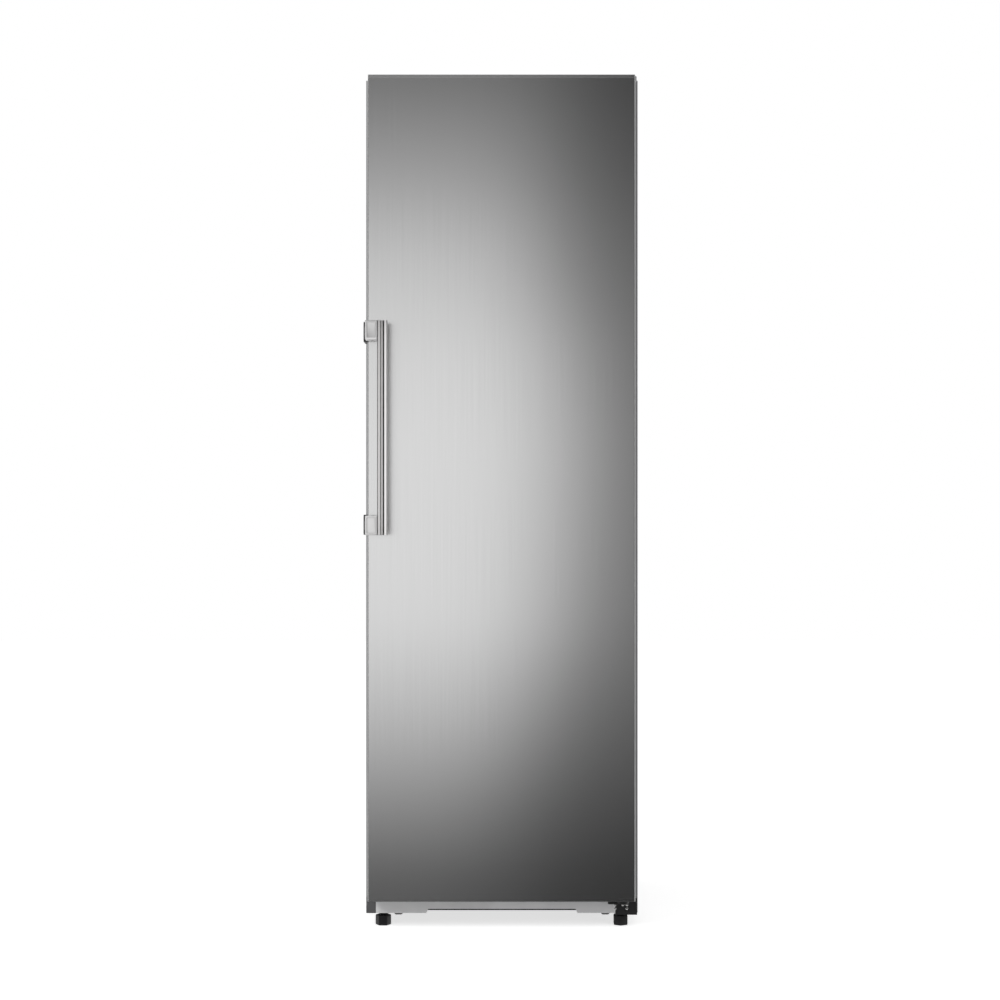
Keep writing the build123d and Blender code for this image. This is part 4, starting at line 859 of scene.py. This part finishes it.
def door_gasket():
    """A vinyl seal: a root in the door, folds that take up the closing gap and a flat magnet strip."""
    low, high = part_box("door_gasket")
    profile = (
        (0.0010, 0.0000), (0.0010, 0.0030), (0.0020, 0.0040), (0.0046, 0.0042), (0.0040, 0.0054),
        (0.0050, 0.0066), (0.0040, 0.0078), (0.0046, 0.0088), (0.0008, 0.0090), (0.0000, 0.0100),
        (0.0000, 0.0127), (0.0010, 0.0137), (0.0170, 0.0137), (0.0180, 0.0127), (0.0180, 0.0100),
        (0.0172, 0.0090), (0.0134, 0.0088), (0.0140, 0.0078), (0.0130, 0.0066), (0.0140, 0.0054),
        (0.0134, 0.0042), (0.0160, 0.0040), (0.0170, 0.0030), (0.0170, 0.0000),
    )
    corner = 0.020
    build = bmesh.new()
    rings = []
    for inset, depth in profile:
        plan = rectangle(low.x + inset, high.x - inset, low.z + inset, high.z - inset)
        y = min(low.y + depth, high.y)
        rings.append([build.verts.new((x, y, z)) for x, z in round_corners(plan, [corner - inset] * 4)])
    skin(build, rings, close_loop=True)
    piece("door_gasket_seal", build, "door", "gasket_vinyl", "door_gasket", angle=25)


def swooping_top(y_door_side, low_top, high_top, reach=0.016):
    """The rim of a rack: low beside the door, with a smooth rise to the other walls."""
    def top(x, y):
        f = min(1.0, max(0.0, (y - y_door_side - RACK_WALL) / reach))
        return low_top + (high_top - low_top) * f * f * (3 - 2 * f)
    return top


def rack(build, low, high, z0, z1):
    """A clear rack of the door."""
    top = swooping_top(low.y, z0 + (z1 - z0) * 0.6, z1)
    open_tray(build, (low.x, low.y, z0), (high.x, high.y, z1), (0.003, 0.003, 0.016, 0.016), RACK_WALL,
              RACK_WALL, top)


def racks():
    low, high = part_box("door_racks")
    build = bmesh.new()
    for n in range(RACK_COUNT):
        z0 = low.z + n * (high.z - RACK_HEIGHT - low.z) / (RACK_COUNT - 1)
        rack(build, low, high, z0, z0 + RACK_HEIGHT)
    piece("door_rack_trays", build, "door", "clear_plastic", "door_racks")
    low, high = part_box("bottle_rack")
    build = bmesh.new()
    rack(build, low, high, low.z, high.z)
    piece("bottle_rack_tray", build, "door", "clear_plastic", "bottle_rack")


def pan_head(build, place):
    """A domed screw head with a cross recess."""
    rings = []
    for width, height in ((1.0, 0.0), (1.0, 0.35), (0.93, 0.68), (0.78, 0.90), (0.55, 1.0)):
        rings.append([build.verts.new(place @ polar(SCREW_RADIUS * width, t, SCREW_HEIGHT * height))
                      for t in turns(SCREW_SIDES)])
    for reach, depth in ((0.50, 0.0), (0.44, 0.45), (0.30, 0.62)):
        ring = []
        for t in turns(SCREW_SIDES):
            on_arm = max(abs(math.cos(t)), abs(math.sin(t))) > 0.965
            radius = SCREW_RADIUS * reach * (1.0 if on_arm else 0.34)
            ring.append(build.verts.new(place @ polar(radius, t, SCREW_HEIGHT * (1 - depth))))
        rings.append(ring)
    skin(build, rings)


def hinge_screws():
    """Five screws in the face of the lower bracket and three on top of the upper one."""
    upper_low, upper_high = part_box("upper_hinge_bracket")
    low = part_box("hinge_screws")[0]
    build = bmesh.new()
    left = low.x + SCREW_RADIUS
    lower_row, upper_row = 0.040, 0.0485
    for x, z in ((0.0, lower_row), (0.0, upper_row), (0.026, lower_row), (0.026, upper_row),
                 (0.017, upper_row)):
        pan_head(build, lying_y(left + x, low.y + SCREW_HEIGHT, z))
    middle = (upper_low.x + upper_high.x) / 2
    first = cabinet_front + 0.034
    for x, y in ((-0.016, first), (0.016, first), (0.0, first + 0.020)):
        pan_head(build, upright(middle + x, y, upper_high.z))
    piece("hinge_screw_heads", build, "cabinet", "pin_steel", "hinge_screws", look="screw_zinc")


door_skin()
door_gasket()
racks()
hinge_screws()


# Inside of the cabinet

DRAWER_WALL = 0.0025
SHELF_COUNT = 5
MARK_HALF = 0.0005
MARK_REACH = 0.0026
RING_RADIUS = 0.0024
BAR_WIDE = 0.0011
BAR_THICK = 0.0004


def drawer(node):
    """A clear box with rounded edges, a turned rim, a front plate and a curled grip."""
    low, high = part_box(node)
    x0, x1, z0, z1 = low.x, high.x, low.z, high.z
    front, back, rim = low.y + 0.012, high.y, z1 - 0.008
    build = bmesh.new()
    open_tray(build, (x0 + 0.003, front + 0.006, z0), (x1 - 0.003, back, rim), (0.004, 0.004, 0.012, 0.012),
              DRAWER_WALL, DRAWER_WALL, ease=0.0125)
    for a, b in ((x0 + 0.001, x0 + 0.0045), (x1 - 0.0045, x1 - 0.001)):
        rounded_box(build, (a, front + 0.0075, rim - 0.003), (b, back - 0.001, rim), 0.0008, 2)
    rounded_box(build, (x0 + 0.001, back - 0.0035, rim - 0.003), (x1 - 0.001, back, rim), 0.0008, 2)

    plate = round_corners(rectangle(x0, x1, z0, z1), [0.014, 0.014, 0.003, 0.003], 6)
    column(build, plate, [(0.0, 0.994), (0.0008, 1.0), (0.0066, 1.0), (0.0076, 0.997), (0.008, 0.990)],
           lying_y(0.0, front + 0.008, 0.0), ((x0 + x1) / 2, (z0 + z1) / 2))

    lip, top, root = low.y, z1 - 0.015, front + 0.001
    grip = [(root, top), (lip + 0.004, top), (lip + 0.0015, top - 0.0008), (lip + 0.0003, top - 0.003),
            (lip, top - 0.006), (lip, top - 0.0140), (lip + 0.0006, top - 0.0148),
            (lip + 0.0022, top - 0.0148), (lip + 0.003, top - 0.0138), (lip + 0.003, top - 0.0065),
            (lip + 0.0037, top - 0.0042), (lip + 0.0055, top - 0.003), (root, top - 0.003)]
    across(build, grip, x0 + 0.040, x1 - 0.040, 0.001)
    piece(f"{node}_box", build, node, "clear_plastic", node)


def shelves():
    """Glass panes with ground edges."""
    for n in range(1, SHELF_COUNT + 1):
        low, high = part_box(f"shelf_{n}")
        outline = round_corners(rectangle(low.x, high.x, low.y, high.y), [0.001, 0.001, 0.014, 0.014], 8)
        build = bmesh.new()
        column(build, outline, eased(low.z, high.z, 0.0006, 0.9975), centre=((low + high) / 2).xy)
        piece(f"shelf_{n}_pane", build, "cabinet", "shelf_glass", f"shelf_{n}", angle=60)


def shelf_trims():
    """A rounded front section that grips the glass, and an upstand along its rear edge."""
    low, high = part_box("shelf_trims")
    nose = [(0.018, 0.0), (0.0030, 0.0), (0.0012, 0.0006), (0.0003, 0.0022), (0.0, 0.0045), (0.0, 0.0075),
            (0.0003, 0.0098), (0.0012, 0.0114), (0.0030, 0.012), (0.0174, 0.012), (0.018, 0.0114),
            (0.018, 0.008), (0.0025, 0.008), (0.0025, 0.004), (0.018, 0.004)]
    stop = [(-0.012, 0.004), (0.0, 0.004), (0.0, 0.0), (0.002, 0.0), (0.002, 0.0253), (0.0014, 0.026),
            (0.0006, 0.026), (0.0, 0.0253), (0.0, 0.0076), (-0.0006, 0.007), (-0.0114, 0.007),
            (-0.012, 0.0064)]
    front, back = bmesh.new(), bmesh.new()
    for n in range(1, SHELF_COUNT + 1):
        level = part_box(f"shelf_{n}")[0].z
        across(front, [(low.y + y, level - 0.004 + z) for y, z in nose], low.x, high.x)
        across(back, [(high.y - 0.002 + y, level + z) for y, z in stop], low.x + 0.014, high.x - 0.014)
    piece("shelf_front_sections", front, "cabinet", "satin_aluminium", "shelf_trims")
    piece("shelf_rear_stops", back, "cabinet", "satin_aluminium", "shelf_trims")


def display_digits():
    """A lit 4 of four bars, a degree ring and a rising row of bars."""
    low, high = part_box("display_window")
    middle = (low.x + high.x) / 2
    base = (low.z + high.z) / 2 - 0.005
    y = low.y - 0.0002
    build = bmesh.new()

    def bar(x0, x1, z0, z1):
        rounded_box(build, (x0, y, z0), (x1, y + BAR_THICK, z1), 0.00018, 1)

    left, right, tall, t = middle - 0.005, middle + 0.0008, 0.010, BAR_WIDE
    half = base + tall / 2
    bar(left, left + t, half, base + tall - t / 2)
    bar(left + t, right - t, half - t / 2, half + t / 2)
    bar(right - t, right, half, base + tall - t / 2)
    bar(right - t, right, base + t / 2, half)
    lathe(build, [(0.0006, 0.0), (0.0013, 0.0), (0.0013, BAR_THICK), (0.0006, BAR_THICK)],
          lying_y(middle + 0.004, y + BAR_THICK, base + 0.0086), 20, closed=True)
    for n in range(5):
        x = low.x + 0.010 + 0.0035 * n
        bar(x, x + 0.002, base + 0.002, base + 0.0032 + 0.0012 * n)
    piece("display_digits", build, "cabinet", "display_glass", look="display_light")


def button_mark(node):
    """A raised mark on a key: a broken ring with a stroke, a plus or a minus."""
    low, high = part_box(node)
    x, z = (low.x + high.x) / 2, (low.z + high.z) / 2
    y = low.y - 0.0001
    build = bmesh.new()

    def stroke(half, z0, z1):
        rounded_box(build, (x - half, y, z + z0), (x + half, y + 0.0006, z + z1), 0.0002, 1)

    if node == "power_button":
        ring = [(x + RING_RADIUS * math.sin(math.radians(a)), y + 0.0003,
                 z + RING_RADIUS * math.cos(math.radians(a))) for a in range(40, 321, 20)]
        tube(build, ring, 0.0004, 8)
        stroke(MARK_HALF, 0.0002, 0.0032)
    else:
        stroke(MARK_REACH, -MARK_HALF, MARK_HALF)
    if node == "warmer_button":
        stroke(MARK_HALF, MARK_HALF, MARK_REACH)
        stroke(MARK_HALF, -MARK_REACH, -MARK_HALF)
    piece(f"{node}_mark", build, node, "white_plastic", look="print_grey")


def light_cover():
    """A ribbed frosted cover with rounded corners."""
    low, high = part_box("light_lens")
    outline = round_corners(rectangle(low.x, high.x, low.y, high.y), [0.010] * 4, 6)
    build = bmesh.new()
    column(build, outline, [(low.z + 0.0006, 0.93), (low.z + 0.0009, 0.955), (low.z + 0.0020, 0.985),
                            (low.z + 0.0040, 1.0), (high.z, 1.0)], centre=((low + high) / 2).xy)
    for n in range(-10, 11):
        x = n * 0.0102
        rounded_box(build, (x - 0.0028, low.y + 0.006, low.z), (x + 0.0028, high.y - 0.006, low.z + 0.0016),
                    0.0005, 2)
    piece("light_cover", build, "cabinet", "frosted_plastic", "light_lens")


drawer("drawer_left")
drawer("drawer_right")
shelves()
shelf_trims()
display_digits()
for name in ("power_button", "warmer_button", "colder_button"):
    button_mark(name)
light_cover()


# Studio: sizes in metres, the lens and sensor in millimetres

CAMERA_DISTANCE = 4.5
CAMERA_HEIGHT = 0.934
CAMERA_X = -0.0042
CAMERA_LENS = 75.16
CAMERA_SENSOR = 36.0
CARD_DISTANCE = 1.2
CARD_HALF_WIDTH = 6.0
CARD_LOW = -0.9
CARD_HIGH = 2.8
CARD_LEAN_REACH = 0.30
CARD_GLOW = 0.023
CARD_STRENGTH = 1.11
FLAG_X = 1.3
FLAG_START, FLAG_END = -1.4, -0.75
FLAG_LOW, FLAG_HIGH = -0.6, 2.8
FLOOR_HALF = 9
FLOOR_GLOW = 0.68
WORLD_FILL = 0.42


def card_x(x):
    """Where a place on the card lies between its left and right edge."""
    return (x + CARD_HALF_WIDTH) / (2 * CARD_HALF_WIDTH)


def card_z(z):
    """Where a place on the card lies between its foot and its top."""
    return (z - CARD_LOW) / (CARD_HIGH - CARD_LOW)


# How bright the card is across and up its height, and how far its bright side leans over at each height
CARD_ACROSS = (
    (card_x(-2.60), 0.60), (card_x(-1.50), 0.85), (card_x(-0.75), 0.97), (card_x(-0.40), 1.0),
    (card_x(0.05), 0.965), (card_x(0.22), 0.72), (card_x(0.30), 0.54), (card_x(0.42), 0.28),
    (card_x(0.62), 0.165), (card_x(1.20), 0.13), (card_x(5.60), 0.11),
)
CARD_UPRIGHT = (
    (card_z(-0.60), 0.050), (card_z(-0.10), 0.118), (card_z(0.11), 0.365), (card_z(0.36), 0.72),
    (card_z(0.60), 0.985), (card_z(1.10), 1.0), (card_z(1.34), 0.945), (card_z(1.59), 0.785),
    (card_z(1.835), 0.465), (card_z(2.10), 0.208), (card_z(2.70), 0.12),
)
CARD_LEAN = (
    (card_z(-0.10), 0.87), (card_z(0.09), 0.83), (card_z(0.334), 0.63), (card_z(0.58), 0.33),
    (card_z(0.825), 0.19), (card_z(1.07), 0.133), (card_z(1.31), 0.21), (card_z(1.56), 0.45),
    (card_z(1.81), 0.447), (card_z(1.95), 0.37), (card_z(2.10), 0.27),
)


def card_material():
    """A glow with a soft falloff, which leans over to one side."""
    m = Nodes("studio_card")
    m.tree.nodes.remove(m.shader)
    place = m.split(m.texture.outputs["Generated"])
    lean = m.add("ShaderNodeMath", operation="MULTIPLY_ADD")
    lean.inputs[1].default_value = CARD_LEAN_REACH / (2 * CARD_HALF_WIDTH)
    m.link(m.ramp(place["Y"], CARD_LEAN), lean.inputs[0])
    m.link(place["X"], lean.inputs[2])
    sideways = m.ramp(lean.outputs["Value"], CARD_ACROSS)
    falloff = m.mix(1.0, sideways, m.ramp(place["Y"], CARD_UPRIGHT), "MULTIPLY")
    emission = m.add("ShaderNodeEmission")
    emission.inputs["Strength"].default_value = CARD_STRENGTH
    m.link(m.mix(1.0, falloff, (CARD_GLOW,) * 3, "ADD"), emission.inputs["Color"])
    m.link(emission.outputs["Emission"], m.output.inputs["Surface"])
    return m.material


def flag_material():
    """A black that darkens only what metal reflects to the side."""
    m = Nodes("studio_flag")
    m.feed(Base_Color=m.mix(m.noise(2), (0.010, 0.010, 0.010), (0.016, 0.016, 0.016)))
    m.set(Roughness=0.9)
    return m.material


def floor_material():
    """A pale floor that reaches white where it is lit and keeps a soft shadow round the feet."""
    m = Nodes("studio_floor")
    seen = m.add("ShaderNodeLightPath").outputs["Is Camera Ray"]
    m.feed(
        Base_Color=m.mix(m.noise(0.7), (0.80, 0.80, 0.80), (0.82, 0.82, 0.82)),
        Emission_Strength=m.remap(seen, 0.0, FLOOR_GLOW, 0, 1),
    )
    m.set(Roughness=0.9, Specular_IOR_Level=0.0, Emission_Color=(1.0, 1.0, 1.0, 1.0))
    return m.material


def sheet_object(name, corners, material):
    mesh = bpy.data.meshes.new(name)
    mesh.from_pydata(corners, [], [tuple(range(len(corners)))])
    mesh.materials.append(material)
    thing = bpy.data.objects.new(name, mesh)
    scene.collection.objects.link(thing)
    return thing


def only_in_metal(thing):
    """Show a thing of the studio in nothing but reflections."""
    thing.visible_camera = False
    thing.visible_diffuse = False
    thing.visible_shadow = False
    thing.visible_transmission = False


def surroundings():
    """A card in front of the door, a flag at each side, and the floor."""
    corners = rectangle(-CARD_HALF_WIDTH, CARD_HALF_WIDTH, 0.0, CARD_HIGH - CARD_LOW)
    card = sheet_object("studio_card", [(x, y, 0.0) for x, y in corners], card_material())
    card.matrix_world = lying_y(0.0, door_low.y - CARD_DISTANCE, CARD_LOW)
    only_in_metal(card)

    black = flag_material()
    corners = rectangle(FLAG_START, FLAG_END, FLAG_LOW, FLAG_HIGH)
    for side, name in ((-1, "studio_flag_left"), (1, "studio_flag_right")):
        only_in_metal(sheet_object(name, [(side * FLAG_X, y, z) for y, z in corners], black))

    corners = rectangle(-FLOOR_HALF, FLOOR_HALF, -FLOOR_HALF, FLOOR_HALF)
    floor = sheet_object("studio_floor", [(x, y, 0) for x, y in corners], floor_material())
    floor.visible_glossy = False


def world_light():
    """A white that shows in full to the camera and in metal and glass, and lights the rest less."""
    world = scene.world = bpy.data.worlds.new("studio")
    world.use_nodes = True
    tree = world.node_tree
    rays = tree.nodes.new("ShaderNodeLightPath").outputs
    seen = rays["Is Camera Ray"]
    for output in ("Is Glossy Ray", "Is Transmission Ray"):
        largest = tree.nodes.new("ShaderNodeMath")
        largest.operation = "MAXIMUM"
        tree.links.new(seen, largest.inputs[0])
        tree.links.new(rays[output], largest.inputs[1])
        seen = largest.outputs["Value"]
    strength = tree.nodes.new("ShaderNodeMapRange")
    strength.inputs["To Min"].default_value = WORLD_FILL
    strength.inputs["To Max"].default_value = 1.0
    tree.links.new(seen, strength.inputs["Value"])
    background = tree.nodes["Background"]
    background.inputs["Color"].default_value = (1.0, 1.0, 1.0, 1.0)
    tree.links.new(strength.outputs["Result"], background.inputs["Strength"])


def area_light(name, place, aim, size, power):
    """A soft lamp that metal doesn't mirror."""
    lamp = bpy.data.lights.new(name, "AREA")
    lamp.shape = "RECTANGLE"
    lamp.size, lamp.size_y = size
    lamp.energy = power
    thing = bpy.data.objects.new(name, lamp)
    scene.collection.objects.link(thing)
    thing.location = place
    thing.rotation_euler = (Vector(aim) - Vector(place)).to_track_quat("-Z", "Y").to_euler()
    thing.visible_glossy = False
    thing.visible_camera = False


def camera():
    """A level view, straight on to the door."""
    lens = bpy.data.cameras.new("camera")
    lens.lens = CAMERA_LENS
    lens.sensor_width = CAMERA_SENSOR
    thing = bpy.data.objects.new("camera", lens)
    scene.collection.objects.link(thing)
    thing.location = (CAMERA_X, door_low.y - CAMERA_DISTANCE, CAMERA_HEIGHT)
    thing.rotation_euler = (math.radians(90), 0, 0)
    scene.camera = thing


world_light()
surroundings()
camera()
area_light("key", (-2.4, -3.6, 2.6), (0, 0, 1.0), (1.6, 1.6), 90)
area_light("fill", (2.6, -3.0, 1.4), (0, 0, 0.8), (1.8, 2.2), 28)
